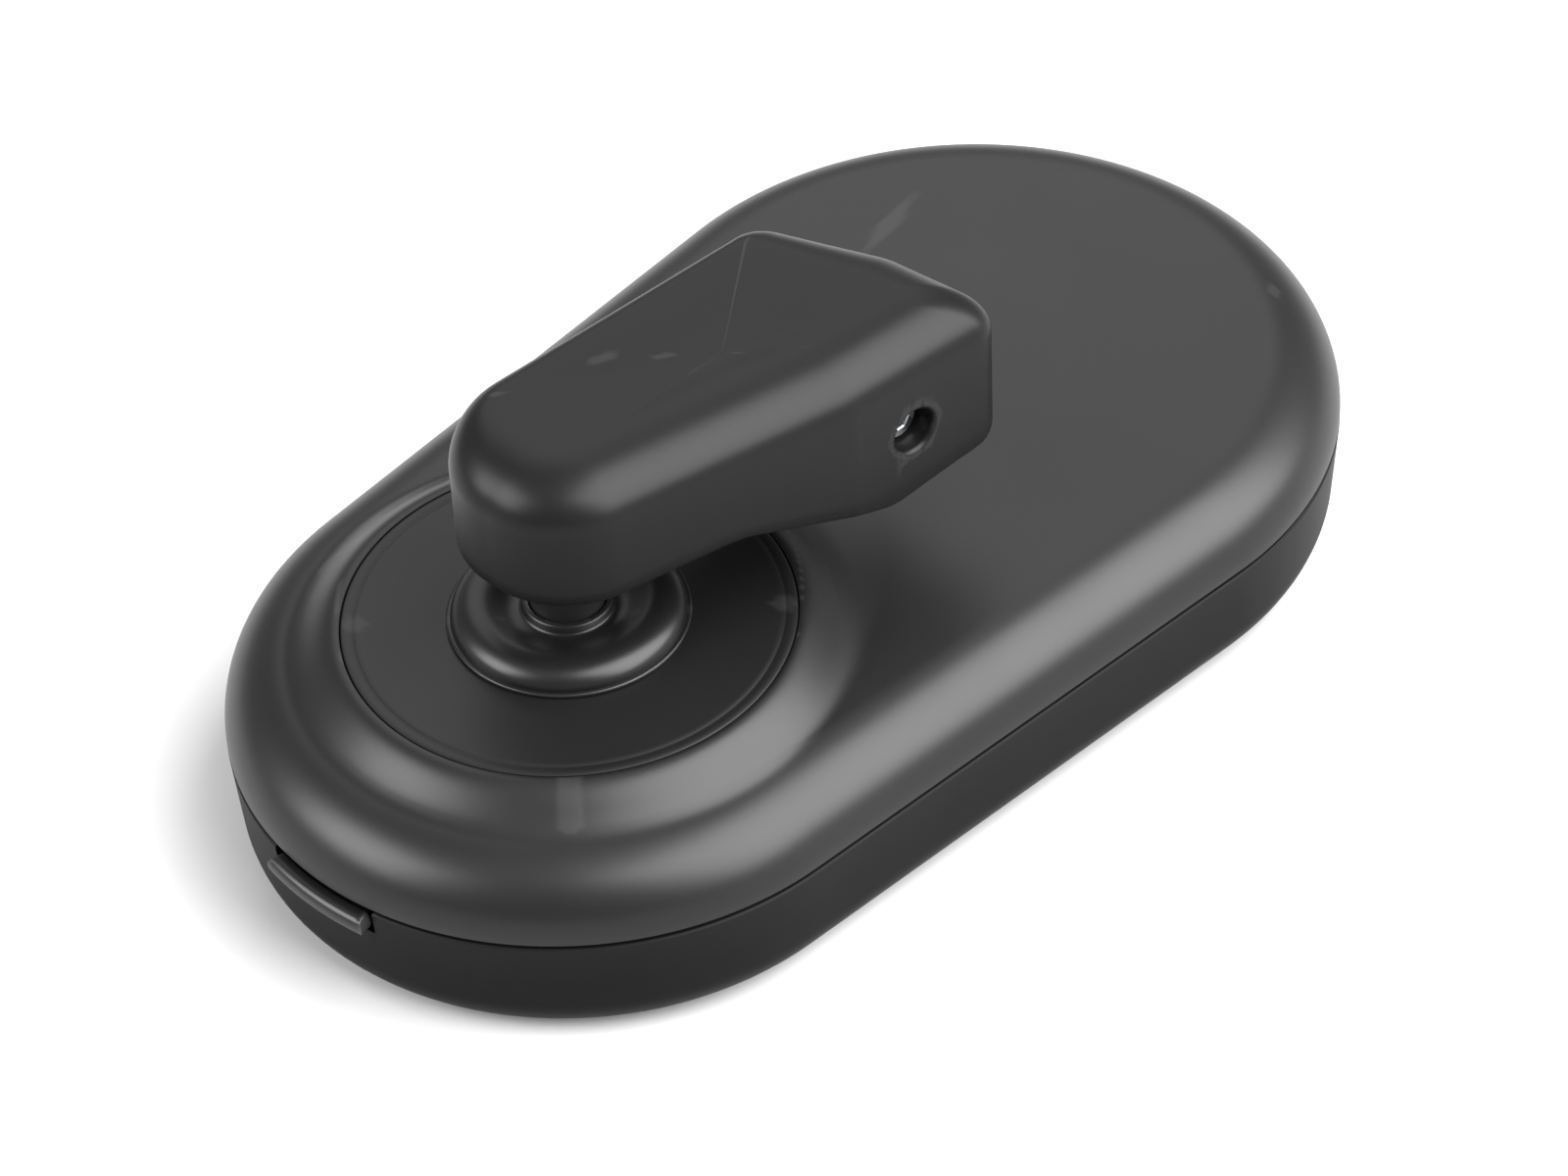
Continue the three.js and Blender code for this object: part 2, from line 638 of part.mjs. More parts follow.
add('post', post(), 'black_steel');
add('switch_cam', switchCam(), 'nylon');
add('retaining_clip', retainingClip(), 'steel');
const washer = ring(NEAR_X, 0, POST_R + FIT, POST_R + 1, CRADLE.top + 0.05, COLLAR_BOTTOM - 0.05);
add('thrust_washer', washer, 'brass');

// ---------------------------------------------------------------- paddle

const PADDLE_CORNERS = [NOSE_BACK, NOSE_FRONT, BEND, TIP, TIP_WALL, BACK];

// The front wall's end, from bend to tip, holds the set screw. It is turned from +X by wallAngle.
const bendToTip = new THREE.Vector2(TIP.reach - BEND.reach, TIP.side - BEND.side);
const wallAngle = bendToTip.angle() - 2 * Math.PI + Math.asin((BEND.r - TIP.r) / bendToTip.length());
const along = new THREE.Vector2(Math.cos(wallAngle), Math.sin(wallAngle));
const outward = new THREE.Vector2(Math.sin(wallAngle), -Math.cos(wallAngle));
const FRONT_WALL = outward.x * TIP.reach + outward.y * TIP.side + TIP.r;

// A place given by its distance along the front wall's direction and out from the post's axis.
function fromPost(reach, out) {
  return {
    x: NEAR_X + along.x * reach + outward.x * out,
    y: along.y * reach + outward.y * out,
  };
}

const armEnd = fromPost(SCREW_REACH - 0.3, ARM_HUB_R - ARM_END_R - 0.2);
const armCircles = [
  { x: NEAR_X, y: 0, r: ARM_HUB_R },
  { x: armEnd.x, y: armEnd.y, r: ARM_END_R },
];
const SCREW_Z = (ARM_BOTTOM + ARM_TOP) / 2;

function alongScrew(out0, out1, r, sides) {
  const middle = fromPost(SCREW_REACH, (out0 + out1) / 2);
  const cylinder = new THREE.CylinderGeometry(r, r, out1 - out0, sides).rotateZ(wallAngle);
  return solid(cylinder.translate(middle.x, middle.y, SCREW_Z));
}

// The paddle's outline, from its wall at share 0 to the level part of its top at share 1.
function paddleOutline(share) {
  const { lerp } = THREE.MathUtils;
  return hullOfCircles(PADDLE_CORNERS.map(({ reach, side, r, steps, level }) => ({
    x: NEAR_X + lerp(reach, level.reach, share),
    y: lerp(side, level.side, share),
    r: lerp(r, level.r, share),
    steps,
  })));
}

// The paddle's underside, seen from the side: level at the nose, down a slope to the belly, then rising
// a little to a round corner under the tip.
function underside() {
  const x = (reach) => NEAR_X + reach;
  const west = x(NOSE_BACK.reach - NOSE_BACK.r - 3);
  const east = x(TIP.reach + TIP.r + 0.1);
  const belly = NOSE_UNDERSIDE - BELLY.drop;
  const tip = belly + BELLY.rise;
  const outline = new THREE.Shape();
  outline.moveTo(west, 0);
  outline.lineTo(east + 3, 0);
  outline.lineTo(east + 3, tip + 2 * BELLY.corner);
  outline.lineTo(east, tip + BELLY.corner);
  outline.quadraticCurveTo(east, tip, east - BELLY.corner * 1.3, tip);
  outline.lineTo(x(BELLY.reach + 0.6), belly + 0.05);
  outline.quadraticCurveTo(x(BELLY.reach), belly, x(BELLY.reach - 0.6), belly + 0.19);
  outline.lineTo(x(BELLY.start + 0.8), NOSE_UNDERSIDE - 0.25);
  outline.quadraticCurveTo(x(BELLY.start), NOSE_UNDERSIDE, x(BELLY.start - 0.8), NOSE_UNDERSIDE);
  outline.lineTo(west, NOSE_UNDERSIDE);
  const options = { depth: BIG, bevelEnabled: false, curveSegments: 4 };
  const geometry = new THREE.ExtrudeGeometry(outline, options);
  return solid(geometry.rotateX(Math.PI / 2).translate(0, BIG / 2, 0));
}

// The outside of the paddle above its underside: wall, rounded edge and a shallow dish for the thumb.
function paddleBlock() {
  const edgeSteps = 5;
  const edgeBottom = PADDLE_TOP - PADDLE_EDGE_HEIGHT;
  const rings = [atHeight(paddleOutline(0), NOSE_UNDERSIDE - BELLY.drop - 1)];
  for (let i = 0; i <= edgeSteps; i += 1) {
    const turn = (i / edgeSteps) * Math.PI / 2;
    const height = edgeBottom + PADDLE_EDGE_HEIGHT * Math.sin(turn);
    rings.push(atHeight(paddleOutline(1 - Math.cos(turn)), height));
  }
  const level = paddleOutline(1);
  const middle = level.reduce((sum, p) => sum.add(p), new THREE.Vector2()).divideScalar(level.length);
  for (const [share, depth] of [[0.25, 0.35], [0.45, 0.75], [0.7, 1]]) {
    const inner = level.map((p) => p.clone().lerp(middle, share));
    rings.push(atHeight(inner, PADDLE_TOP - DISH_DEPTH * depth));
  }
  return stack(rings);
}

function paddle() {
  const pocket = prism(hullOfCircles(armCircles, -AIR, 20), 0, ARM_TOP + AIR);
  return cut(paddleBlock(),
    underside(),
    pocket,
    alongScrew(ARM_HUB_R - 0.5, FRONT_WALL + 1, SET_SCREW_R + FIT, 20),
    alongScrew(FRONT_WALL - HOLE_RIM.depth, FRONT_WALL + 1, SET_SCREW_R + FIT + HOLE_RIM.width, 20));
}

function paddleArm() {
  return cut(prism(hullOfCircles(armCircles, 0, 20), ARM_BOTTOM, ARM_TOP),
    rod(NEAR_X, 0, 0, BIG, POST_R + FIT / 2, 32));
}

function setScrew() {
  const inner = ARM_HUB_R + FIT / 2;
  const outer = inner + SET_SCREW_LENGTH;
  return cut(alongScrew(inner, outer, SET_SCREW_R, 20), alongScrew(outer - 1.2, outer + 1, HEX_R, 6));
}

add('paddle', paddle(), 'shell');
add('paddle_arm', paddleArm(), 'aluminium');
add('set_screw', setScrew(), 'steel');

// ---------------------------------------------------------------- push button

const SEAL_OUT = NEAR_R - CASE_WALL - RUN;
const SEAL_IN = SEAL_OUT - 0.45;
const FLANGE_OUT = SEAL_IN - FIT;
const FLANGE_IN = FLANGE_OUT - 0.6;
const NIB_LENGTH = 0.9;

function buttonSeal() {
  const pad = wallSector(SEAL_IN, SEAL_OUT, BUTTON.left - 1.2, BUTTON.right + 1.2,
    BUTTON.bottom - 1, RABBET_FLOOR - FIT);
  const slot = wallSector(SEAL_IN - 1, SEAL_OUT + 1, BUTTON.left + 0.4, BUTTON.right - 0.4,
    BUTTON.bottom - FIT, BIG);
  return cut(pad, slot);
}

function functionButton() {
  const stemTop = RABBET_FLOOR - FIT;
  const middle = (BUTTON.left + BUTTON.right) / 2;
  const bar = wallSector(NEAR_R - 0.15, NEAR_R + BUTTON.proud, BUTTON.left, BUTTON.right,
    BUTTON.bottom, BUTTON.top);
  const stem = wallSector(FLANGE_OUT - 0.3, NEAR_R, BUTTON.left + 0.6, BUTTON.right - 0.6,
    BUTTON.bottom, stemTop);
  const back = wallSector(FLANGE_IN, FLANGE_OUT, BUTTON.left - 0.9, BUTTON.right + 0.9,
    BUTTON.bottom - 0.8, stemTop);
  const inside = NEAR_X - FLANGE_OUT;
  const nib = block(inside + 0.2, inside + NIB_LENGTH, middle - 0.8, middle + 0.8,
    BUTTON.bottom - 0.5, stemTop);
  return join(bar, stem, back, nib);
}

add('button_seal', buttonSeal(), 'rubber');
add('function_button', functionButton(), 'shell');

// ---------------------------------------------------------------- circuit board

function circuitBoard() {
  const margin = CASE_WALL + BOARD_MARGIN;
  let board = cut(prism(oval(margin), BOARD_BOTTOM, BOARD_TOP),
    block(BOARD_END_X, BIG, -BIG, BIG, 0, BIG),
    rod(INSERT_X, 0, 0, BIG, INSERT.r + INSERT.wall + AIR));
  for (const place of screwPlaces) {
    board = cut(board, rod(place.x, place.y, 0, BIG, CASE_SCREW.head + 1.2, 20));
  }
  return board;
}

// A tactile switch with its plunger pointing up, standing on z = 0.
function topSwitch(half, height, plunger) {
  const body = block(-half, half, -half, half, 0, height);
  return join(body, rod(0, 0, height - 0.2, plunger, half * 0.45, 12));
}

// A tactile switch with its plunger pointing along -X, standing on z = 0.
function sideSwitch(half, height, stroke, plungerZ) {
  const plunger = new THREE.CylinderGeometry(0.4, 0.4, stroke + 0.2, 12).rotateZ(Math.PI / 2);
  const tip = solid(plunger.translate(-half - stroke / 2 + 0.1, 0, plungerZ));
  return join(block(-half, half, -half * 1.2, half * 1.2, 0, height), tip);
}

add('circuit_board', circuitBoard(), 'board');

const SWITCH_HALF = 1.25;
const SWITCH_STROKE = 0.5;
const camSwing = CAM.half + CAM.reach * Math.sin(SWING * DEG) + FIT;
const camSwitchY = camSwing + SWITCH_STROKE + SWITCH_HALF;
const camSwitchX = NEAR_X - CAM.reach + 1.2;
const camPlungerZ = (CAM.bottom + CAM.top) / 2 - ON_BOARD + 0.1;
const upSwitch = group(camSwitchX, camSwitchY, ON_BOARD);
add('switch_up', sideSwitch(SWITCH_HALF, 1.9, SWITCH_STROKE, camPlungerZ), 'steel', upSwitch);
upSwitch.rotation.z = Math.PI / 2;
const downSwitch = group(camSwitchX, -camSwitchY, ON_BOARD);
add('switch_down', sideSwitch(SWITCH_HALF, 1.9, SWITCH_STROKE, camPlungerZ), 'steel', downSwitch);
downSwitch.rotation.z = -Math.PI / 2;

const pressSwitch = group(PRESS_X, -1.5, ON_BOARD);
add('switch_press', topSwitch(SWITCH_HALF, 1.6, 2.4), 'steel', pressSwitch);

const buttonReach = NEAR_X - FLANGE_OUT + NIB_LENGTH + BUTTON.travel + FIT;
const functionSwitchX = buttonReach + SWITCH_STROKE + SWITCH_HALF;
const functionSwitch = group(functionSwitchX, (BUTTON.left + BUTTON.right) / 2, ON_BOARD);
const buttonPlungerZ = BUTTON.bottom - ON_BOARD;
const pushSwitch = sideSwitch(SWITCH_HALF, 2.4, SWITCH_STROKE, buttonPlungerZ);
add('switch_function', pushSwitch, 'steel', functionSwitch);

function shieldCan() {
  const [halfX, halfY, sheet] = [3.6, 2.8, 0.3];
  const height = 1.5;
  const [x, y, r] = [halfX - 2 * sheet, halfY - 2 * sheet, 2 * sheet];
  const corners = [{ x: -x, y: -y, r }, { x, y: -y, r }, { x, y, r }, { x: -x, y, r }];
  const can = roundedSlab(hullOfCircles(corners, 0, 45), 0, height, sheet, sheet, 2);
  return cut(can, block(-x, x, -y, y, -1, height - sheet));
}

function controlChip() {
  const half = 2.5;
  return block(-half, half, -half, half, 0, 0.9);
}

const CHIP_SIDE = 8.9;
add('radio_shield', shieldCan(), 'steel', group(NEAR_X + 4.2, CHIP_SIDE, ON_BOARD));
add('control_chip', controlChip(), 'black_steel', group(NEAR_X + 4.2, -CHIP_SIDE, ON_BOARD));

// ---------------------------------------------------------------- coin cell, holder and contacts

const CELL_TOP = CELL_BOTTOM + CELL_THICKNESS;
const CONTACT_SHEET = 0.25;
const HOLDER_CEILING = CELL_TOP + 0.6;
const HOLDER_TOP = HOLDER_CEILING + 0.7;
const CELL_EDGE = FAR_X - CELL_R;

function coinCell() {
  return turned(FAR_X, 0, [
    [0, CELL_BOTTOM],
    [CELL_R - 0.3, CELL_BOTTOM],
    [CELL_R, CELL_BOTTOM + 0.3],
    [CELL_R, CELL_TOP - 0.5],
    [CELL_R - 1.2, CELL_TOP - 0.3],
    [CELL_R - 1.4, CELL_TOP],
    [0, CELL_TOP],
  ], 40);
}

function batteryHolder() {
  const holder = turned(FAR_X, 0, [
    [CELL_R + 3 * FIT, DOOR_TOP + 2 * AIR],
    [WELL_R - FIT, DOOR_TOP + 2 * AIR],
    [WELL_R - FIT, HOLDER_TOP],
    [0, HOLDER_TOP],
    [0, HOLDER_CEILING],
    [CELL_R + 3 * FIT, HOLDER_CEILING],
    [CELL_R + 3 * FIT, DOOR_TOP + 2 * AIR],
  ], 40);
  const window = block(BOARD_END_X, CELL_EDGE + 1, -WINDOW_HALF, WINDOW_HALF, 0, HOLDER_CEILING);
  return cut(holder, window);
}

function contactFoot(y0, y1, x1) {
  return block(BOARD_END_X - 0.5, x1, y0, y1, ON_BOARD, ON_BOARD + CONTACT_SHEET);
}

function contactPlus() {
  const leafX = CELL_EDGE - 0.2;
  const leaf = block(leafX - CONTACT_SHEET, leafX, 1, 3.6, ON_BOARD, CELL_TOP - 0.4);
  return join(contactFoot(1, 3.6, leafX), leaf);
}

function contactMinus() {
  const z = CELL_TOP + 0.15;
  const legX = CELL_EDGE - 2.4;
  const pad = rod(FAR_X, 0, z, z + CONTACT_SHEET, 4, 20);
  const strip = block(legX, FAR_X, -3.6, -1, z, z + CONTACT_SHEET);
  const leg = block(legX, legX + CONTACT_SHEET, -3.6, -1, ON_BOARD, z + CONTACT_SHEET);
  return join(contactFoot(-3.6, -1, legX + CONTACT_SHEET), leg, strip, pad);
}

add('coin_cell', coinCell(), 'steel');
add('battery_holder', batteryHolder(), 'nylon');
add('battery_contact_plus', contactPlus(), 'brass');
add('battery_contact_minus', contactMinus(), 'brass');

// ---------------------------------------------------------------- battery door

const SEAL_RING_R = (DOOR_PLUG_R + DOOR_R) / 2;

function batteryDoor() {
  const groove = SEAL_WIRE_R + 0.04;
  const floor = DOOR_PLATE - 2 * SEAL_WIRE_R;
  let door = turned(FAR_X, 0, [
    [0, 0],
    [DOOR_R - 0.2, 0],
    [DOOR_R, 0.2],
    [DOOR_R, DOOR_PLATE],
    [SEAL_RING_R + groove, DOOR_PLATE],
    [SEAL_RING_R + groove, floor],
    [SEAL_RING_R - groove, floor],
    [SEAL_RING_R - groove, DOOR_PLATE],
    [DOOR_PLUG_R, DOOR_PLATE],
    [DOOR_PLUG_R, DOOR_TOP],
    [0, DOOR_TOP],
  ], 40);
  for (const angle of LUG_ANGLES) {
    const lug = lugSector(DOOR_PLUG_R - 0.5, DOOR_PLUG_R + DOOR_LUG, angle, LUG_SWEEP,
      DOOR_TOP - LUG_THICKNESS, DOOR_TOP);
    door = join(door, lug);
  }
  const slot = new THREE.CylinderGeometry(COIN_SLOT.r, COIN_SLOT.r, COIN_SLOT.width, 48);
  return cut(door, solid(slot.translate(FAR_X, 0, COIN_SLOT.depth - COIN_SLOT.r)));
}

function doorSeal() {
  const z = DOOR_PLATE - SEAL_WIRE_R + 0.04;
  const section = arc(SEAL_RING_R, z, SEAL_WIRE_R, 0, 2 * Math.PI, 6).map((p) => [p.x, p.y]);
  return turned(FAR_X, 0, section, 40);
}

add('battery_door', batteryDoor(), 'shell');
add('door_seal', doorSeal(), 'gasket');

// ---------------------------------------------------------------- threaded insert for the clamp

function clampInsert() {
  return turned(INSERT_X, 0, [
    [INSERT.bore, 0],
    [INSERT.r, 0],
    [INSERT.r, INSERT.height * 0.4],
    [INSERT.r - 0.25, INSERT.height * 0.45],
    [INSERT.r - 0.25, INSERT.height * 0.55],
    [INSERT.r, INSERT.height * 0.6],
    [INSERT.r, INSERT.height],
    [INSERT.bore, INSERT.height],
    [INSERT.bore, 0],
  ], 24);
}

add('clamp_insert', clampInsert(), 'brass');

export default remote;
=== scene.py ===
"""Looks for a handlebar thumb remote: fine shells, paddle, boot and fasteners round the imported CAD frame.

Lengths are written in millimetres and turned into metres by MM. X runs along the case, Z is up.
"""

import json
import math

import bmesh
import bpy
import numpy as np
from mathutils import Matrix, Vector


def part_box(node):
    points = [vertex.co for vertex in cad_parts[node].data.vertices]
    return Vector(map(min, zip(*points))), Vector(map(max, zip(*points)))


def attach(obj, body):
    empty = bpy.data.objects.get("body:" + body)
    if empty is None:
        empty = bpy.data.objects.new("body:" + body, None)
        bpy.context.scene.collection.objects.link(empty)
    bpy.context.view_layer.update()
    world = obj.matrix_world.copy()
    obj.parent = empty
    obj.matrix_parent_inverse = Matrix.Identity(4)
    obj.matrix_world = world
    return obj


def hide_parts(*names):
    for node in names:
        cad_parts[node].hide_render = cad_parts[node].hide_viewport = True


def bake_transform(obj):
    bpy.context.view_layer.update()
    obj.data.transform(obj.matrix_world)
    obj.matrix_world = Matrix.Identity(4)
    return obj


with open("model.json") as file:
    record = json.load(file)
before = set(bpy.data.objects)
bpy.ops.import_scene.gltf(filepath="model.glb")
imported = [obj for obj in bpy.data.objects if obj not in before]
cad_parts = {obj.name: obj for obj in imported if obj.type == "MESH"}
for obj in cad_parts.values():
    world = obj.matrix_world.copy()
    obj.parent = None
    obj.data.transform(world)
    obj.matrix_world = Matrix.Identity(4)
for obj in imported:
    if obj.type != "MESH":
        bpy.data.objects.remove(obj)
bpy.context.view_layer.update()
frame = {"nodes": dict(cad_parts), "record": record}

MM = 0.001
TAU = 2 * math.pi


# ---------------------------------------------------------------- sizes read from the frame, in mm

def box_mm(node):
    low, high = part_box(node)
    return np.array(low) / MM, np.array(high) / MM


BASE_LOW, BASE_HIGH = box_mm("base_shell")
DISC_LOW, DISC_HIGH = box_mm("bezel_disc")
BOOT_LOW, BOOT_HIGH = box_mm("boot")
PADDLE_HIGH = box_mm("paddle")[1]
ARM_LOW, ARM_HIGH = box_mm("paddle_arm")
POST_LOW, POST_HIGH = box_mm("post")
DOOR_LOW, DOOR_HIGH = box_mm("battery_door")
INSERT_LOW, INSERT_HIGH = box_mm("clamp_insert")
GASKET_LOW, GASKET_HIGH = box_mm("case_gasket")

POST_X = (DISC_LOW[0] + DISC_HIGH[0]) / 2
DISC_R = (DISC_HIGH[0] - DISC_LOW[0]) / 2
BOOT_R = (BOOT_HIGH[0] - BOOT_LOW[0]) / 2
NEAR_R = POST_X - BASE_LOW[0]
FAR_R = BASE_HIGH[1]
FAR_X = BASE_HIGH[0] - FAR_R
DOOR_X = (DOOR_LOW[0] + DOOR_HIGH[0]) / 2
INSERT_X = (INSERT_LOW[0] + INSERT_HIGH[0]) / 2
INSERT_R = (INSERT_HIGH[0] - INSERT_LOW[0]) / 2

# Shape values that a box can't give, the same as the design's.
CASE_WALL = 1.5
FLOOR = 1.3
SEAM = 0.25
BASE_ROUND = 2.2
BASE_DRAFT = 0.22
RABBET = 0.8
SHOULDER_WIDTH = 3.7
SHOULDER_HEIGHT = 3.4
COVER_TOP = 9.7
BOSS_FOOT_R = 13.3
POST_R = 1.75
DOOR_BORE = 10.4
SCREW_RECESS_R = 1.7
ARM_HUB_R = 3.0
ARM_END_R = 2.0
SCREW_REACH = 14.75
SCREW_R = 1.0
FIT = 0.1


# ---------------------------------------------------------------- mesh helpers

def new_object(name, vertices, faces):
    mesh = bpy.data.meshes.new(name)
    mesh.from_pydata([tuple(v * MM) for v in np.asarray(vertices, float)], [], faces)
    mesh.validate()
    obj = bpy.data.objects.new(name, mesh)
    bpy.context.scene.collection.objects.link(obj)
    return obj


def loft(name, rings, ring_is_loop=False):
    """A closed body through rings of equally many points, its ends capped, or joined if ring_is_loop."""
    count = len(rings[0])
    vertices = [p for ring in rings for p in ring]
    faces = []
    spans = len(rings) if ring_is_loop else len(rings) - 1
    for k in range(spans):
        a, b = k * count, ((k + 1) % len(rings)) * count
        for i in range(count):
            j = (i + 1) % count
            faces.append((a + i, a + j, b + j, b + i))
    if not ring_is_loop:
        for start, flip in ((0, True), ((len(rings) - 1) * count, False)):
            ring = np.array(vertices[start:start + count])
            vertices.append(ring.mean(axis=0))
            hub = len(vertices) - 1
            for i in range(count):
                j = (i + 1) % count
                face = (start + i, start + j, hub)
                faces.append(face[::-1] if flip else face)
    obj = new_object(name, vertices, faces)
    tidy(obj)
    return obj


def tidy(obj, merge=1e-6):
    """Welds doubled points and turns every face outward."""
    bm = bmesh.new()
    bm.from_mesh(obj.data)
    bmesh.ops.remove_doubles(bm, verts=bm.verts, dist=merge)
    bmesh.ops.dissolve_degenerate(bm, dist=merge * 0.1, edges=bm.edges)
    bmesh.ops.recalc_face_normals(bm, faces=bm.faces)
    bm.to_mesh(obj.data)
    bm.free()


def smooth(obj, degrees=32):
    obj.data.shade_smooth()
    obj.data.set_sharp_from_angle(angle=math.radians(degrees))
    return obj


def ring_points(xy, z):
    xy = np.asarray(xy, float)
    return np.column_stack([xy, np.full(len(xy), float(z))])


def circle(x, y, r, count=96):
    angle = np.arange(count) * TAU / count
    return np.column_stack([x + r * np.cos(angle), y + r * np.sin(angle)])


def turned(name, x, y, profile, count=96):
    """A turned body about the upright through (x, y), from (radius, height) pairs run up the outside."""
    closed = profile[0] == profile[-1]
    pairs = profile[:-1] if closed else profile
    rings = [ring_points(circle(x, y, max(r, 1e-3), count), z) for r, z in pairs]
    return loft(name, rings, ring_is_loop=closed)


def prism(name, xy, z0, z1):
    return loft(name, [ring_points(xy, z0), ring_points(xy, z1)])


def boolean(obj, tool, operation="DIFFERENCE"):
    modifier = obj.modifiers.new("cut", "BOOLEAN")
    modifier.operation = operation
    modifier.solver = "EXACT"
    modifier.object = tool
    depsgraph = bpy.context.evaluated_depsgraph_get()
    mesh = bpy.data.meshes.new_from_object(obj.evaluated_get(depsgraph))
    obj.modifiers.clear()
    old = obj.data
    obj.data = mesh
    bpy.data.meshes.remove(old)
    bpy.data.objects.remove(tool)
    return obj


def quarter(steps):
    """Pairs (1 - cos, sin) of a quarter turn, ends included."""
    return [(1 - math.cos(t), math.sin(t)) for t in np.linspace(0, math.pi / 2, steps + 1)]


def smoothstep(t):
    t = np.clip(t, 0, 1)
    return t * t * (3 - 2 * t)


# ---------------------------------------------------------------- outlines

SIDE_TILT = math.asin((FAR_R - NEAR_R) / (FAR_X - POST_X))
NEAR_COUNT, SIDE_COUNT, FAR_COUNT = 112, 90, 120


def oval(inset=0.0):
    """The case's outline, moved in by inset, as points in a fixed order."""
    near = np.linspace(math.pi / 2 + SIDE_TILT, 1.5 * math.pi - SIDE_TILT, NEAR_COUNT)
    far = np.linspace(-math.pi / 2 - SIDE_TILT, math.pi / 2 + SIDE_TILT, FAR_COUNT)
    near_arc = np.column_stack([POST_X + (NEAR_R - inset) * np.cos(near), (NEAR_R - inset) * np.sin(near)])
    far_arc = np.column_stack([FAR_X + (FAR_R - inset) * np.cos(far), (FAR_R - inset) * np.sin(far)])
    between = np.linspace(0, 1, SIDE_COUNT + 2)[1:-1, None]
    lower = near_arc[-1] + (far_arc[0] - near_arc[-1]) * between
    upper = far_arc[-1] + (near_arc[0] - far_arc[-1]) * between
    return np.vstack([near_arc, lower, far_arc, upper])


def post_circle(r):
    """A circle round the post whose points pair off with the oval's."""
    near = np.linspace(math.pi / 2 + SIDE_TILT, 1.5 * math.pi - SIDE_TILT, NEAR_COUNT)
    rest = 2 * SIDE_COUNT + FAR_COUNT
    far = np.linspace(-math.pi / 2 - SIDE_TILT, math.pi / 2 + SIDE_TILT, rest + 2)[1:-1]
    angle = np.concatenate([near, far])
    return np.column_stack([POST_X + r * np.cos(angle), r * np.sin(angle)])


def hull_outline(circles, arc_count=28, side_count=18):
    """The outline round a counter-clockwise list of (x, y, radius), always with as many points."""
    normals = []
    for (ax, ay, ar), (bx, by, br) in zip(circles, circles[1:] + circles[:1]):
        distance = math.hypot(bx - ax, by - ay)
        normals.append(math.atan2(by - ay, bx - ax) - math.pi / 2 + math.asin((ar - br) / distance))
    arcs = []
    for i, (x, y, r) in enumerate(circles):
        before, after = normals[i - 1], normals[i]
        while after < before:
            after += TAU
        angle = np.linspace(before, after, arc_count)
        arcs.append(np.column_stack([x + r * np.cos(angle), y + r * np.sin(angle)]))
    points = []
    for arc, following in zip(arcs, arcs[1:] + arcs[:1]):
        between = np.linspace(0, 1, side_count + 2)[1:-1, None]
        points.append(arc)
        points.append(arc[-1] + (following[0] - arc[-1]) * between)
    return np.vstack(points)


# ---------------------------------------------------------------- top cover

def make_cover():
    rim = BASE_HIGH[2] + SEAM
    boss_top = DISC_HIGH[2]
    seat = DISC_LOW[2] - 0.05
    edge = DISC_R + 0.04
    ceiling = COVER_TOP - 1.4
    rings = [ring_points(oval(0.06), rim), ring_points(oval(0.0), rim + 0.06)]
    start = COVER_TOP - SHOULDER_HEIGHT
    ramp_start_r = NEAR_R - SHOULDER_WIDTH - 0.2

    def on_ramp(flat, height):
        from_axis = np.hypot(flat[:, 0] - POST_X, flat[:, 1])
        rise = smoothstep((BOSS_FOOT_R - from_axis) / (BOSS_FOOT_R - edge - 0.1))
        return np.column_stack([flat, height + (boss_top - COVER_TOP) * rise])

    for out, up in quarter(30):
        rings.append(on_ramp(oval(SHOULDER_WIDTH * out), start + SHOULDER_HEIGHT * up))
    flat_edge = oval(SHOULDER_WIDTH)
    ramp_start = post_circle(ramp_start_r)
    for t in np.linspace(0, 1, 15)[1:]:
        rings.append(on_ramp(flat_edge + (ramp_start - flat_edge) * t, COVER_TOP))
    for r in np.linspace(ramp_start_r, edge + 0.1, 24)[1:]:
        rings.append(on_ramp(post_circle(r), COVER_TOP))
    rings += [
        ring_points(post_circle(edge + 0.03), boss_top - 0.02),
        ring_points(post_circle(edge), boss_top - 0.08),
        ring_points(post_circle(edge), seat),
        ring_points(post_circle(DISC_R - 2.5), seat),
        ring_points(post_circle(DISC_R - 2.5), seat - 0.95),
        ring_points(post_circle(edge - 1.3), seat - 0.95),
        ring_points(post_circle(edge - 1.3), ceiling),
    ]
    for out, up in quarter(6)[::-1]:
        rings.append(ring_points(oval(CASE_WALL + 2.7 * out), ceiling - 2.0 + 2.0 * up))
    rings.append(ring_points(oval(CASE_WALL), rim))
    cover = loft("cover_skin", rings, ring_is_loop=True)
    return finish_piece(cover, "base", "upper_shell", ["top_cover"])


# ---------------------------------------------------------------- bookkeeping for each piece

def finish_piece(obj, body, slot, nodes=(), degrees=32):
    smooth(obj, degrees)
    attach(obj, body)
    if nodes:
        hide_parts(*nodes)
    obj.data.materials.clear()
    obj.data.materials.append(MATERIALS[slot])
    return obj


# ---------------------------------------------------------------- lower shell

def screw_places():
    places = []
    for i in range(1, 5):
        low, high = box_mm(f"case_screw_{i}")
        places.append(((low[0] + high[0]) / 2, (low[1] + high[1]) / 2))
    return places


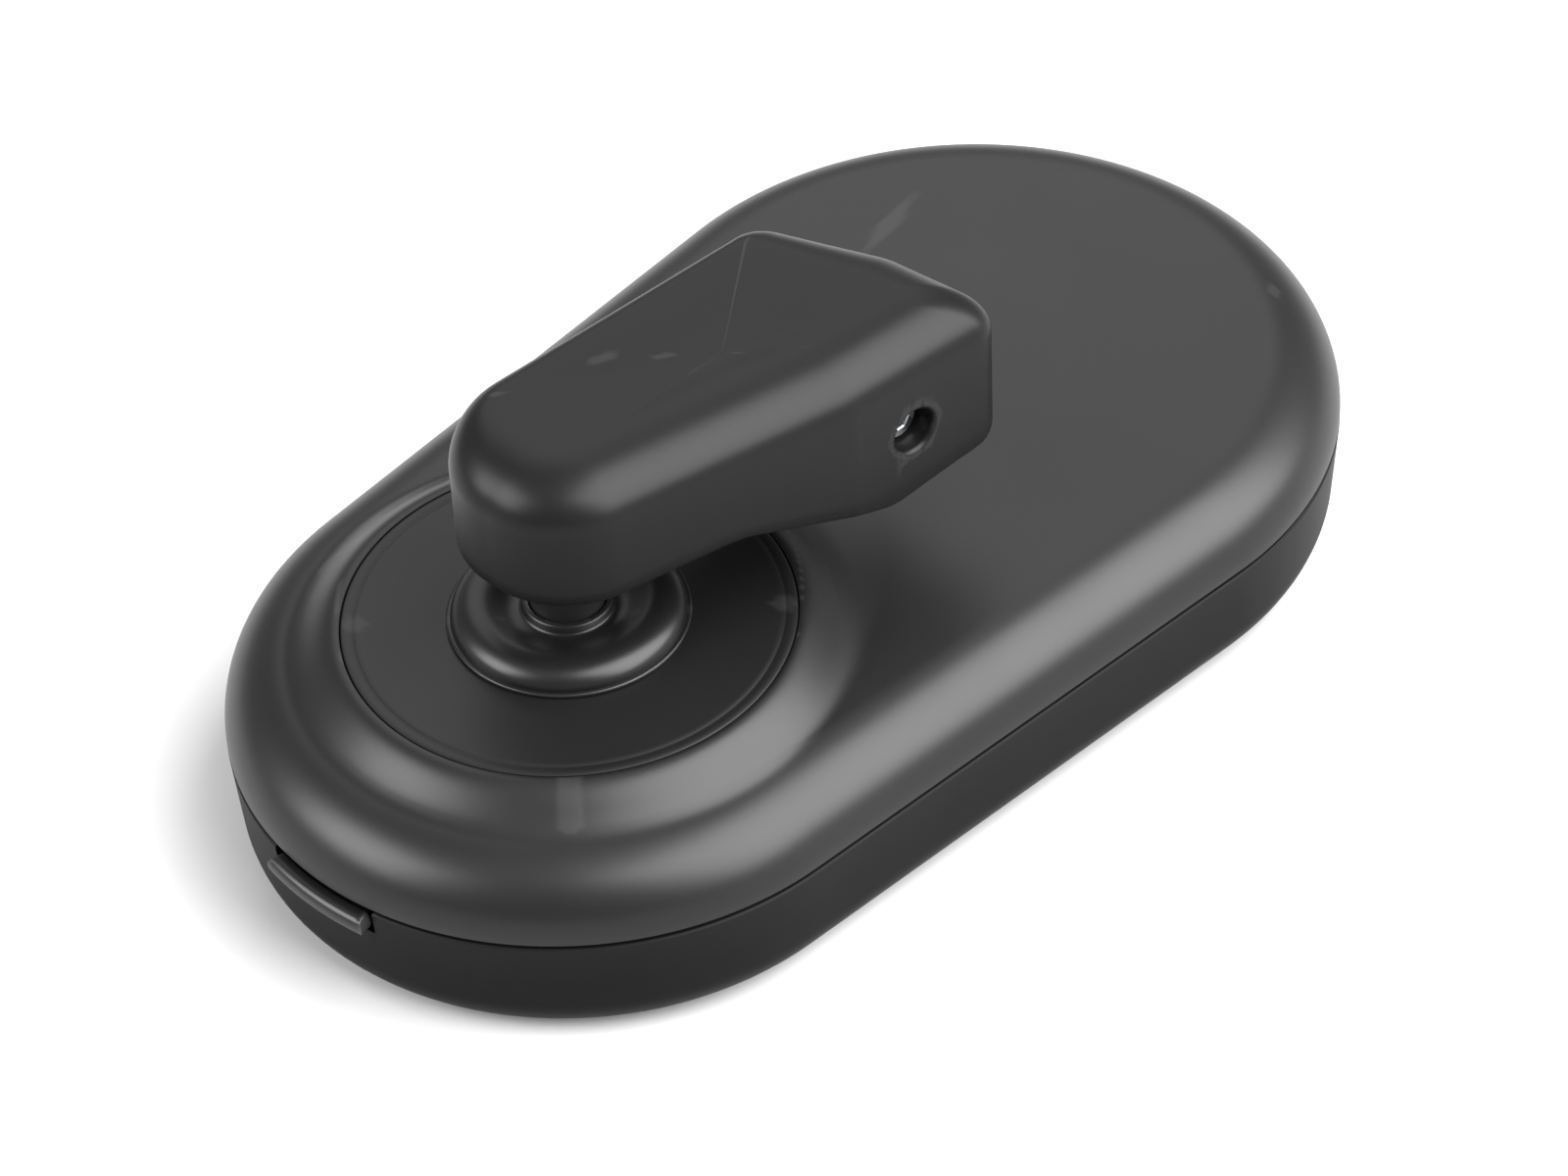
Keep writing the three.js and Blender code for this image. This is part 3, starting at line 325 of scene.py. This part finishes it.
def make_base():
    top = BASE_HIGH[2]
    rings = []
    for t in np.linspace(0, math.pi / 2, 13):
        inset = BASE_DRAFT + BASE_ROUND * (1 - math.sin(t))
        rings.append(ring_points(oval(inset), BASE_ROUND * (1 - math.cos(t))))
    rings += [
        ring_points(oval(0.0), top - 0.08),
        ring_points(oval(0.08), top),
        ring_points(oval(RABBET), top),
        ring_points(oval(RABBET), top - 0.4),
        ring_points(oval(CASE_WALL), top - 0.4),
        ring_points(oval(CASE_WALL), FLOOR + 0.4),
        ring_points(oval(CASE_WALL + 0.4), FLOOR),
    ]
    shell = loft("lower_shell", rings)
    well_r = DOOR_BORE - 0.25 + 1.05 + 0.3
    rise = FLOOR / 2
    boolean(shell, turned("t", DOOR_X, 0, [(well_r + 0.7, rise), (well_r + 0.7, top - 0.7)]), "UNION")
    for x, y in screw_places():
        pillar_r = SCREW_RECESS_R + 0.7
        boolean(shell, turned("t", x, y, [(pillar_r, rise), (pillar_r, 2.4)], 48), "UNION")
    insert_top = INSERT_HIGH[2]
    sleeve_r = INSERT_R + 0.85
    boolean(shell, turned("t", INSERT_X, 0, [(sleeve_r, rise), (sleeve_r, insert_top + 0.85)]), "UNION")
    door_r = (DOOR_HIGH[0] - DOOR_LOW[0]) / 2
    boolean(shell, turned("t", DOOR_X, 0, [
        (door_r + 0.35, -1), (door_r + 0.35, 0), (door_r + 0.2, 0.15), (door_r + 0.2, 1.0),
        (DOOR_BORE, 1.0), (DOOR_BORE, 1.6), (well_r, 1.6), (well_r, 9)]))
    for x, y in screw_places():
        boolean(shell, turned("t", x, y, [
            (SCREW_RECESS_R + 0.3, -0.15), (SCREW_RECESS_R, 0.15), (SCREW_RECESS_R, 1.1),
            (1.0, 1.12), (1.0, 4)], 52))
    boolean(shell, turned("t", INSERT_X, 0, [
        (INSERT_R + 0.25, -1), (INSERT_R + 0.25, 0), (INSERT_R + FIT, 0.15),
        (INSERT_R + FIT, insert_top + FIT)]))
    notch_low, notch_high = BUTTON_RANGE
    x0, x1 = BASE_LOW[0] - 1, BASE_LOW[0] + 3
    y0, y1 = notch_low - 0.15, notch_high + 0.15
    notch = np.array([(x0, y0), (x1, y0), (x1, y1), (x0, y1)])
    boolean(shell, prism("t", notch, BUTTON_BAR_LOW - 0.1, 9))
    return finish_piece(shell, "base", "lower_shell", ["base_shell"])


# ---------------------------------------------------------------- gasket, disc and boot

def make_gasket():
    z0, z1 = GASKET_LOW[2], GASKET_HIGH[2]
    inner, outer = CASE_WALL - 0.05, RABBET - 0.25
    seam = BASE_HIGH[2]
    steps = ((inner, z0), (RABBET + 0.05, z0), (RABBET + 0.05, seam + 0.03), (outer, seam + 0.05),
             (outer, z1), (inner, z1))
    rings = [ring_points(oval(inset), z) for inset, z in steps]
    gasket = loft("seam_gasket", rings, ring_is_loop=True)
    return finish_piece(gasket, "base", "seal_rubber", ["case_gasket"])


def make_disc():
    low, high = DISC_LOW[2], DISC_HIGH[2]
    hole = 4.9
    groove = DISC_R - 0.55
    profile = [
        (hole, low), (DISC_R - 0.05, low), (DISC_R, low + 0.05), (DISC_R, high - 0.1),
        (DISC_R - 0.03, high - 0.03), (DISC_R - 0.1, high), (groove + 0.07, high),
        (groove + 0.02, high - 0.025), (groove - 0.02, high - 0.025), (groove - 0.07, high)]
    profile += [(r, high) for r in np.linspace(groove - 0.3, hole + 0.3, 12)]
    profile += [(hole + 0.05, high), (hole, high - 0.05), (hole, low)]
    disc = turned("boss_disc", POST_X, 0, profile, 160)
    return finish_piece(disc, "base", "disc", ["bezel_disc"])


def make_boot():
    lip = DISC_HIGH[2] + 0.03
    crest = BOOT_HIGH[2]
    r0 = POST_R + 0.06
    bore = POST_R + 0.65
    profile = [(bore, lip - 0.5), (bore + 0.4, lip - 0.75), (4.7, lip - 0.75), (4.75, lip),
               (BOOT_R - 0.04, lip), (BOOT_R, lip + 0.04), (BOOT_R, lip + 0.14),
               (BOOT_R - 0.06, lip + 0.2), (BOOT_R - 0.2, lip + 0.19)]
    outer = BOOT_R - 0.2
    middle = 4.15
    start = lip + 0.19
    for t in np.linspace(0, math.pi / 2, 13)[1:]:
        profile.append((middle + (outer - middle) * math.cos(t), start + (crest - start) * math.sin(t)))
    valley_r, valley_z = 2.35, lip + 0.62
    for t in np.linspace(0, 1, 15)[1:]:
        share = 0.5 + 0.5 * math.cos(math.pi * t)
        profile.append((middle + (valley_r - middle) * t, valley_z + (crest - valley_z) * share))
    profile += [(2.2, valley_z + 0.02), (2.12, valley_z + 0.12), (2.1, valley_z + 0.4),
                (2.02, valley_z + 0.47), (r0 + 0.04, valley_z + 0.47), (r0, valley_z + 0.42),
                (r0, lip + 0.8), (bore, lip + 0.15)]
    profile.append(profile[0])
    boot = turned("boot_skin", POST_X, 0, profile, 128)
    smooth(boot, 50)
    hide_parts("boot")
    boot.data.materials.append(MATERIALS["boot_rubber"])
    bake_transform(boot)
    return boot


# ---------------------------------------------------------------- post, paddle, arm and set screw

def make_post():
    low, high = POST_LOW[2], POST_HIGH[2]
    collar = 9.65
    profile = [(0, low), (1.2, low), (1.3, low + 0.1), (1.3, 4.35), (POST_R, 4.35), (POST_R, collar),
               (POST_R + 0.35, collar), (POST_R + 0.35, collar + 0.4), (POST_R, collar + 0.6),
               (POST_R, high - 0.3), (POST_R - 0.3, high), (0, high)]
    post = turned("post_bar", POST_X, 0, profile, 96)
    return finish_piece(post, "paddle", "black_metal", ["post"])


# Corners of the paddle seen from above, from the post's axis, each with where it comes to on the level
# part of the top: (reach, side, radius) at the wall, then the same on top.
NOSE_BACK = ((-0.3, -0.6, 4.9), (0.0, 0.7, 2.1))
NOSE_FRONT = ((-0.55, -1.22, 4.65), (-0.55, -1.22, 1.6))
BEND = ((11.0, -4.73, 4.0), (11.0, -4.73, 1.0))
TIP = ((17.95, -8.05, 1.5), (15.26, -5.42, 0.8))
TIP_WALL = ((14.7, -4.2, 4.4), (14.6, -4.2, 1.2))
BACK = ((15.1, 0.95, 2.05), (13.7, 1.1, 0.8))
CORNERS = [NOSE_BACK, NOSE_FRONT, BEND, TIP, TIP_WALL, BACK]
EDGE_HEIGHT = 2.3
NOSE_UNDERSIDE = 16.95
BELLY_START, BELLY_REACH, BELLY_DROP, BELLY_RISE, BELLY_CORNER = 4.35, 12.4, 2.55, 0.45, 2.4
DISH_DEPTH = 0.2

BEND_TO_TIP = np.array(TIP[0][:2]) - np.array(BEND[0][:2])
WALL_ANGLE = math.atan2(BEND_TO_TIP[1], BEND_TO_TIP[0]) + math.asin(
    (BEND[0][2] - TIP[0][2]) / np.linalg.norm(BEND_TO_TIP))
ALONG = np.array([math.cos(WALL_ANGLE), math.sin(WALL_ANGLE)])
OUTWARD = np.array([math.sin(WALL_ANGLE), -math.cos(WALL_ANGLE)])
FRONT_WALL = float(OUTWARD @ np.array(TIP[0][:2])) + TIP[0][2]


def from_post(reach, out):
    return np.array([POST_X, 0.0]) + ALONG * reach + OUTWARD * out


def paddle_outline(share, inset=0.0):
    """The paddle's outline, from its wall at share 0 to the level part of its top at share 1."""
    circles = []
    for wall, level in CORNERS:
        x, y, r = (a + (b - a) * share for a, b in zip(wall, level))
        circles.append((POST_X + x, y, r - inset))
    return hull_outline(circles)


def quadratic(start, corner, end, count=12):
    t = np.linspace(0, 1, count)[:, None]
    start, corner, end = map(np.array, (start, corner, end))
    return (1 - t) ** 2 * start + 2 * t * (1 - t) * corner + t ** 2 * end


def belly_line():
    """The paddle's underside from the side: level, down a slope, then up a little to a round corner."""
    belly = NOSE_UNDERSIDE - BELLY_DROP
    tip = belly + BELLY_RISE
    end = TIP[0][0] + TIP[0][2] + 0.1
    return np.vstack([
        [(-20, NOSE_UNDERSIDE)],
        quadratic((BELLY_START - 0.8, NOSE_UNDERSIDE), (BELLY_START, NOSE_UNDERSIDE),
                  (BELLY_START + 0.8, NOSE_UNDERSIDE - 0.25)),
        quadratic((BELLY_REACH - 0.6, belly + 0.19), (BELLY_REACH, belly),
                  (BELLY_REACH + 0.6, belly + 0.05)),
        quadratic((end - BELLY_CORNER * 1.3, tip), (end, tip), (end + 0.01, tip + BELLY_CORNER)),
        [(end + 3, tip + 2 * BELLY_CORNER)],
    ])


BELLY_LINE = belly_line()


def underside(x):
    return np.interp(x - POST_X, BELLY_LINE[:, 0], BELLY_LINE[:, 1])


def make_paddle():
    rings = []
    wall = paddle_outline(0.0)
    hub = np.array([POST_X, 0]) + np.array([8.0, -2.8])
    lowest = paddle_outline(0.0, 0.25)
    for share in (0.94, 0.85, 0.75, 0.65, 0.55, 0.45, 0.35, 0.25, 0.15, 0.05, 0.0):
        flat = lowest + (hub - lowest) * share
        rings.append(np.column_stack([flat, underside(flat[:, 0])]))
    for inset, up in ((0.12, 0.02), (0.04, 0.09), (0.0, 0.22)):
        flat = paddle_outline(0.0, inset)
        rings.append(np.column_stack([flat, underside(flat[:, 0]) + up]))
    base = PADDLE_HIGH[2] - EDGE_HEIGHT
    start = underside(wall[:, 0]) + 0.22
    for t in np.linspace(0, 1, 8)[1:]:
        rings.append(np.column_stack([wall, start + (base - start) * t]))
    for t in np.linspace(0, math.pi / 2, 19)[1:]:
        flat = paddle_outline(1 - math.cos(t))
        rings.append(ring_points(flat, base + EDGE_HEIGHT * math.sin(t)))
    level = paddle_outline(1.0)
    for t in np.linspace(0, 1, 24)[1:-1]:
        flat = level + (hub - level) * t
        rings.append(ring_points(flat, PADDLE_HIGH[2] - DISH_DEPTH * smoothstep(t)))
    paddle = loft("paddle_cap", rings)
    pocket = hull_outline([(x, y, r + 0.3) for x, y, r in arm_circles()], 24, 6)
    boolean(paddle, prism("t", pocket, 5, ARM_HIGH[2] + 0.3))
    hole = SCREW_R + FIT
    rim = 0.3
    profile = [(hole, ARM_HUB_R - 0.5), (hole, FRONT_WALL - rim)]
    profile += [(hole + rim * out, FRONT_WALL - rim + rim * up) for out, up in quarter(8)[1:]]
    profile += [(hole + rim + 0.02, FRONT_WALL + 0.02), (hole + rim + 0.02, FRONT_WALL + 1)]
    tool = turned("t", 0, 0, profile, 64)
    tool.data.transform(screw_frame(screw_height()))
    boolean(paddle, tool)
    return finish_piece(paddle, "paddle", "paddle", ["paddle"], 38)


def screw_height():
    return (ARM_LOW[2] + ARM_HIGH[2]) / 2


def arm_circles():
    end = from_post(SCREW_REACH - 0.3, ARM_HUB_R - ARM_END_R - 0.2)
    return [(POST_X, 0.0, ARM_HUB_R), (end[0], end[1], ARM_END_R)]


def screw_frame(z):
    """Turns a body's Z axis out of the paddle's front wall at the set screw."""
    foot = from_post(SCREW_REACH, 0)
    x_axis = Vector((ALONG[0], ALONG[1], 0))
    z_axis = Vector((OUTWARD[0], OUTWARD[1], 0))
    y_axis = z_axis.cross(x_axis)
    turn = Matrix((x_axis, y_axis, z_axis)).transposed().to_4x4()
    return Matrix.Translation(Vector((foot[0], foot[1], z)) * MM) @ turn


def make_set_screw():
    low = ARM_HUB_R + 0.05
    high = low + 3.3
    r = SCREW_R
    thread = []
    z = low + 0.3
    while z < high - 0.45:
        thread += [(r, z), (r - 0.13, z + 0.2)]
        z += 0.4
    profile = [(0, low), (r - 0.35, low), (r - 0.1, low + 0.25), *thread,
               (r, high - 0.3), (r, high - 0.12), (r - 0.12, high), (0, high)]
    screw = turned("grub_screw", 0, 0, profile, 64)
    hex_r = 0.52
    socket_profile = [(hex_r, high - 1.1), (hex_r, high - 0.06), (0.62, high + 0.04), (0.62, high + 1)]
    socket = turned("t", 0, 0, socket_profile, 6)
    boolean(screw, socket)
    screw.data.transform(screw_frame(screw_height()))
    return finish_piece(screw, "paddle", "steel", ["set_screw"], 25)


def make_arm():
    circles = arm_circles()
    rings = []
    z0, z1 = ARM_LOW[2], ARM_HIGH[2]
    edge = ((0.25, 0), (0.08, 0.07), (0, 0.25))
    heights = [(inset, z0 + up) for inset, up in edge] + [(inset, z1 - up) for inset, up in edge[::-1]]
    for inset, z in heights:
        rings.append(ring_points(hull_outline([(x, y, r - inset) for x, y, r in circles], 32, 8), z))
    arm = loft("arm_bar", rings)
    boolean(arm, turned("t", POST_X, 0, [(POST_R + 0.05, z0 - 1), (POST_R + 0.05, z1 + 1)], 64))
    return finish_piece(arm, "paddle", "aluminium", ["paddle_arm"])


# ---------------------------------------------------------------- push button

BUTTON_RANGE = (-2.9, 3.2)
BUTTON_BAR_LOW = 4.8
BUTTON_BAR_TOP = 5.8


def sector(inner, outer, left, right, count=24):
    middle = (inner + outer) / 2
    angle = np.linspace(math.pi - math.asin(right / middle), math.pi - math.asin(left / middle), count)
    out = np.column_stack([POST_X + outer * np.cos(angle), outer * np.sin(angle)])
    back = np.column_stack([POST_X + inner * np.cos(angle[::-1]), inner * np.sin(angle[::-1])])
    return np.vstack([out, back])


def make_button():
    left, right = BUTTON_RANGE
    inner_r = NEAR_R - 0.15
    outer_r = NEAR_R + 0.6
    radius = 0.42
    rings = []
    steps = [(1 - math.sin(t), 1 - math.cos(t)) for t in np.linspace(0, math.pi / 2, 7)]
    heights = [(out, BUTTON_BAR_LOW + radius * up) for out, up in steps]
    heights += [(out, BUTTON_BAR_TOP - radius * up) for out, up in steps[::-1]]
    for out, z in heights:
        inset = radius * out
        rings.append(ring_points(sector(inner_r, outer_r - inset, left + inset, right - inset), z))
    button = loft("button_bar", rings)
    flange_in, flange_out = flange_radii()
    stem_top = 5.5
    stem = sector(flange_in + 0.3, NEAR_R, left + 0.6, right - 0.6)
    flange = sector(flange_in, flange_out, left - 0.9, right + 0.9)
    boolean(button, prism("t", stem, BUTTON_BAR_LOW, stem_top), "UNION")
    boolean(button, prism("t", flange, BUTTON_BAR_LOW - 0.8, stem_top), "UNION")
    return finish_piece(button, "button", "button", ["function_button"], 40)


def flange_radii():
    outer = NEAR_R - CASE_WALL - 0.15 - 0.45 - 0.1
    return outer - 0.6, outer


# ---------------------------------------------------------------- underside fittings

def make_door():
    r = (DOOR_HIGH[0] - DOOR_LOW[0]) / 2
    top = DOOR_HIGH[2]
    plug = DOOR_BORE - 0.25
    ring = r - 1.1
    profile = [(0, 0), (ring - 0.12, 0), (ring - 0.05, 0.12), (ring + 0.05, 0.12), (ring + 0.12, 0),
               (r - 0.2, 0), (r - 0.06, 0.06), (r, 0.2), (r, 0.52), (plug, 0.52),
               (plug, top - 0.1), (plug - 0.1, top), (0, top)]
    door = turned("door_cap", DOOR_X, 0, profile, 160)
    slot_r = 14.0
    cutter = turned("t", 0, 0, [(slot_r, -0.75), (slot_r, 0.75)], 160)
    slot_place = Matrix.Translation((DOOR_X * MM, 0, -12.9 * MM))
    cutter.data.transform(slot_place @ Matrix.Rotation(math.pi / 2, 4, "X"))
    boolean(door, cutter)
    for angle in (30, 150, 270):
        a = np.radians(np.linspace(angle - 15, angle + 15, 12))
        back = a[::-1]
        outer = np.column_stack([DOOR_X + (plug + 1.05) * np.cos(a), (plug + 1.05) * np.sin(a)])
        inner = np.column_stack([DOOR_X + (plug - 0.5) * np.cos(back), (plug - 0.5) * np.sin(back)])
        boolean(door, prism("t", np.vstack([outer, inner]), top - 0.45, top - 0.01), "UNION")
    return finish_piece(door, "door", "lower_shell", ["battery_door"])


def make_case_screws():
    for i, (x, y) in enumerate(screw_places(), 1):
        low, high = box_mm(f"case_screw_{i}")
        z0, z1 = low[2], high[2]
        profile = [(0, z0), (1.15, z0), (1.38, z0 + 0.1), (1.5, z0 + 0.32), (1.5, z0 + 0.9),
                   (0.8, z0 + 0.9)]
        z = z0 + 1.1
        while z < z1 - 0.7:
            profile += [(0.62, z), (0.8, z + 0.17)]
            z += 0.35
        profile += [(0.5, z1 - 0.1), (0, z1)]
        screw = turned(f"case_bolt_{i}", x, y, profile, 48)
        socket = [(0.85, z0 - 1), (0.85, z0), (0.75, z0 + 0.08), (0.75, z0 + 0.55)]
        boolean(screw, turned("t", x, y, socket, 6))
        finish_piece(screw, "base", "black_screw", [f"case_screw_{i}"], 30)


def make_insert():
    top = INSERT_HIGH[2]
    bore = 1.65
    profile = [(bore + 0.35, 0), (INSERT_R - 0.1, 0), (INSERT_R, 0.1), (INSERT_R, top * 0.4),
               (INSERT_R - 0.25, top * 0.45), (INSERT_R - 0.25, top * 0.55), (INSERT_R, top * 0.6),
               (INSERT_R, top)]
    z = top
    while z > 0.75:
        profile += [(bore + 0.3, z), (bore, z - 0.35)]
        z -= 0.7
    profile.append(profile[0])
    insert = turned("clamp_nut", INSERT_X, 0, profile, 96)
    return finish_piece(insert, "base", "brass", ["clamp_insert"], 30)


# ---------------------------------------------------------------- materials

def node_material(name):
    material = bpy.data.materials.new(name)
    material.use_nodes = True
    tree = material.node_tree
    shader = tree.nodes["Principled BSDF"]
    return material, tree, shader


def noise(tree, scale, detail=2.0, roughness=0.5):
    coordinates = tree.nodes.new("ShaderNodeTexCoord")
    texture = tree.nodes.new("ShaderNodeTexNoise")
    texture.inputs["Scale"].default_value = scale
    texture.inputs["Detail"].default_value = detail
    texture.inputs["Roughness"].default_value = roughness
    tree.links.new(coordinates.outputs["Object"], texture.inputs["Vector"])
    return texture.outputs["Fac"]


def ramp(tree, source, low, high):
    node = tree.nodes.new("ShaderNodeMapRange")
    node.inputs["To Min"].default_value = low
    node.inputs["To Max"].default_value = high
    tree.links.new(source, node.inputs["Value"])
    return node.outputs["Result"]


def worn_edge(tree):
    """About 0 on the flats and 1 on sharp outer edges."""
    geometry = tree.nodes.new("ShaderNodeNewGeometry")
    node = tree.nodes.new("ShaderNodeMapRange")
    node.inputs["From Min"].default_value = 0.53
    node.inputs["From Max"].default_value = 0.62
    tree.links.new(geometry.outputs["Pointiness"], node.inputs["Value"])
    return node.outputs["Result"]


def mix_colour(tree, factor, low, high):
    node = tree.nodes.new("ShaderNodeMix")
    node.data_type = "RGBA"
    node.inputs["A"].default_value = (*low, 1)
    node.inputs["B"].default_value = (*high, 1)
    tree.links.new(factor, node.inputs["Factor"])
    return node.outputs["Result"]


def add_bump(tree, shader, height, strength, distance):
    bump = tree.nodes.new("ShaderNodeBump")
    bump.inputs["Strength"].default_value = strength
    bump.inputs["Distance"].default_value = distance * MM
    tree.links.new(height, bump.inputs["Height"])
    tree.links.new(bump.outputs["Normal"], shader.inputs["Normal"])


def surface(name, colour, rough, variation=0.05, grain=900.0, bump=0.05, depth=0.02, metallic=0.0,
            specular=0.5, wear=0.35, mottle=120.0, stretch=None):
    """A moulded, painted or machined surface: mottled colour, uneven gloss, fine grain, worn edges."""
    material, tree, shader = node_material(name)
    shader.inputs["Metallic"].default_value = metallic
    shader.inputs["Specular IOR Level"].default_value = specular
    darker = tuple(c * 0.86 for c in colour)
    lighter = tuple(min(1, c * 1.14) for c in colour)
    body = mix_colour(tree, noise(tree, mottle), darker, lighter)
    edge = tree.nodes.new("ShaderNodeMix")
    edge.data_type = "RGBA"
    edge.blend_type = "ADD"
    edge.inputs["B"].default_value = (*[wear * max(0.02, c) for c in colour], 1)
    tree.links.new(worn_edge(tree), edge.inputs["Factor"])
    tree.links.new(body, edge.inputs["A"])
    tree.links.new(edge.outputs["Result"], shader.inputs["Base Color"])
    gloss = ramp(tree, noise(tree, mottle * 2.5, 4), rough - variation, rough + variation)
    tree.links.new(gloss, shader.inputs["Roughness"])
    add_bump(tree, shader, noise(tree, grain, 3, 0.6), bump, depth)
    return material


# Each slot's colour and roughness, then its unevenness, grain and metal.
MATERIALS = {
    "upper_shell": surface("upper_shell", (0.0055, 0.0055, 0.0057),
        0.37, 0.02, 1600, 0.08, 0.005, specular=0.3),
    "paddle": surface("paddle", (0.0045, 0.0045, 0.0047), 0.37, 0.02, 1600, 0.08, 0.005, specular=0.16),
    "disc": surface("disc", (0.0050, 0.0050, 0.0052), 0.38, 0.02, 1800, 0.08, 0.004, specular=0.24),
    "lower_shell": surface("lower_shell", (0.0040, 0.0040, 0.0042),
        0.45, 0.03, 1400, 0.15, 0.008, specular=0.06),
    "button": surface("button", (0.0065, 0.0065, 0.0068),
        0.32, 0.02, 1600, 0.08, 0.005, specular=0.3, wear=1.0),
    "boot_rubber": surface("boot_rubber", (0.0050, 0.0050, 0.0052),
        0.34, 0.03, 1500, 0.10, 0.005, specular=0.3),
    "seal_rubber": surface("seal_rubber", (0.004, 0.004, 0.004),
        0.8, 0.05, 1200, 0.2, 0.01, specular=0.2),
    "black_screw": surface("black_screw", (0.02, 0.02, 0.021),
        0.35, 0.06, 1500, 0.15, 0.01, metallic=0.7, wear=4),
    "black_metal": surface("black_metal", (0.02, 0.02, 0.021),
        0.38, 0.06, 1500, 0.12, 0.008, metallic=0.5, wear=2),
    "steel": surface("steel", (0.62, 0.63, 0.65), 0.24, 0.06, 1400, 0.12, 0.006, metallic=1.0),
    "cell": surface("cell", (0.66, 0.66, 0.65), 0.27, 0.06, 1400, 0.12, 0.006, metallic=1.0),
    "brass": surface("brass", (0.60, 0.44, 0.19), 0.30, 0.07, 1400, 0.12, 0.008, metallic=1.0),
    "aluminium": surface("aluminium", (0.45, 0.46, 0.47), 0.42, 0.06, 1800, 0.25, 0.008, metallic=1.0),
    "nylon": surface("nylon", (0.20, 0.19, 0.17), 0.55, 0.06, 900, 0.15, 0.02),
    "board": surface("board", (0.015, 0.085, 0.030), 0.42, 0.08, 700, 0.25, 0.02, mottle=260),
}


def dress_cad_nodes():
    """Every CAD node takes the finish of its slot, whether a finer piece stands for it or not."""
    for entry in frame["record"]["subparts"]:
        node = frame["nodes"][entry["node"]]
        node.data.materials.clear()
        node.data.materials.append(MATERIALS[entry["material_slot"]])


# ---------------------------------------------------------------- stage, lights and camera

CAMERA_AZIMUTH = -44.86
CAMERA_ELEVATION = 42.78
CAMERA_ROLL = -2.95
CAMERA_DISTANCE = 233.2
CAMERA_TARGET = (-3.88, -3.13, 7.0)
FOCAL_SHARE = 3.1555


def camera_axes():
    azimuth, elevation = math.radians(CAMERA_AZIMUTH), math.radians(CAMERA_ELEVATION)
    roll = math.radians(CAMERA_ROLL)
    level = math.cos(elevation)
    back = Vector((math.sin(azimuth) * level, -math.cos(azimuth) * level, math.sin(elevation)))
    right = Vector((math.cos(azimuth), math.sin(azimuth), 0))
    up = back.cross(right)
    rolled_right = right * math.cos(roll) + up * math.sin(roll)
    rolled_up = up * math.cos(roll) - right * math.sin(roll)
    return rolled_right, rolled_up, back


def make_camera():
    right, up, back = camera_axes()
    data = bpy.data.cameras.new("camera")
    data.sensor_width = 36
    data.lens = FOCAL_SHARE * data.sensor_width
    data.clip_start = 0.01
    camera = bpy.data.objects.new("camera", data)
    turn = Matrix((right, up, back)).transposed().to_4x4()
    place = Vector(CAMERA_TARGET) * MM + back * CAMERA_DISTANCE * MM
    camera.matrix_world = Matrix.Translation(place) @ turn
    bpy.context.scene.collection.objects.link(camera)
    bpy.context.scene.camera = camera


def make_floor():
    half = 3.0
    mesh = bpy.data.meshes.new("floor")
    z = -0.0002
    corners = [(-half, -half, z), (half, -half, z), (half, half, z), (-half, half, z)]
    mesh.from_pydata(corners, [], [(0, 1, 2, 3)])
    floor = bpy.data.objects.new("floor", mesh)
    bpy.context.scene.collection.objects.link(floor)
    material, tree, shader = node_material("floor")
    shader.inputs["Base Color"].default_value = (0.42, 0.42, 0.42, 1)
    shader.inputs["Roughness"].default_value = 0.9
    shader.inputs["Specular IOR Level"].default_value = 0.0
    mesh.materials.append(material)


def area_light(name, azimuth, elevation, distance, size, power, size_y=None):
    """A soft panel aimed at the case. Azimuth is measured from +X, both angles in degrees."""
    a, e = math.radians(azimuth), math.radians(elevation)
    direction = Vector((math.cos(a) * math.cos(e), math.sin(a) * math.cos(e), math.sin(e)))
    data = bpy.data.lights.new(name, "AREA")
    data.shape = "RECTANGLE"
    data.size = size
    data.size_y = size_y or size
    data.energy = power
    light = bpy.data.objects.new(name, data)
    turn = direction.to_track_quat("Z", "Y").to_matrix().to_4x4()
    light.matrix_world = Matrix.Translation(direction * distance) @ turn
    bpy.context.scene.collection.objects.link(light)


def make_lights():
    world = bpy.data.worlds.new("studio")
    world.use_nodes = True
    world.node_tree.nodes["Background"].inputs["Color"].default_value = (1, 1, 1, 1)
    world.node_tree.nodes["Background"].inputs["Strength"].default_value = 0.35
    bpy.context.scene.world = world
    area_light("key", -62, 46, 0.9, 1.1, 46.0)
    area_light("back", 50, 45, 1.1, 0.8, 3.5)
    area_light("left", 150, 34, 1.0, 0.6, 15.0)
    bpy.context.scene.view_settings.view_transform = "Standard"


# ---------------------------------------------------------------- build

make_camera()
dress_cad_nodes()
make_cover()
make_base()
make_gasket()
make_disc()
make_boot()
make_post()
make_paddle()
make_set_screw()
make_arm()
make_button()
make_door()
make_case_screws()
make_insert()
make_floor()
make_lights()
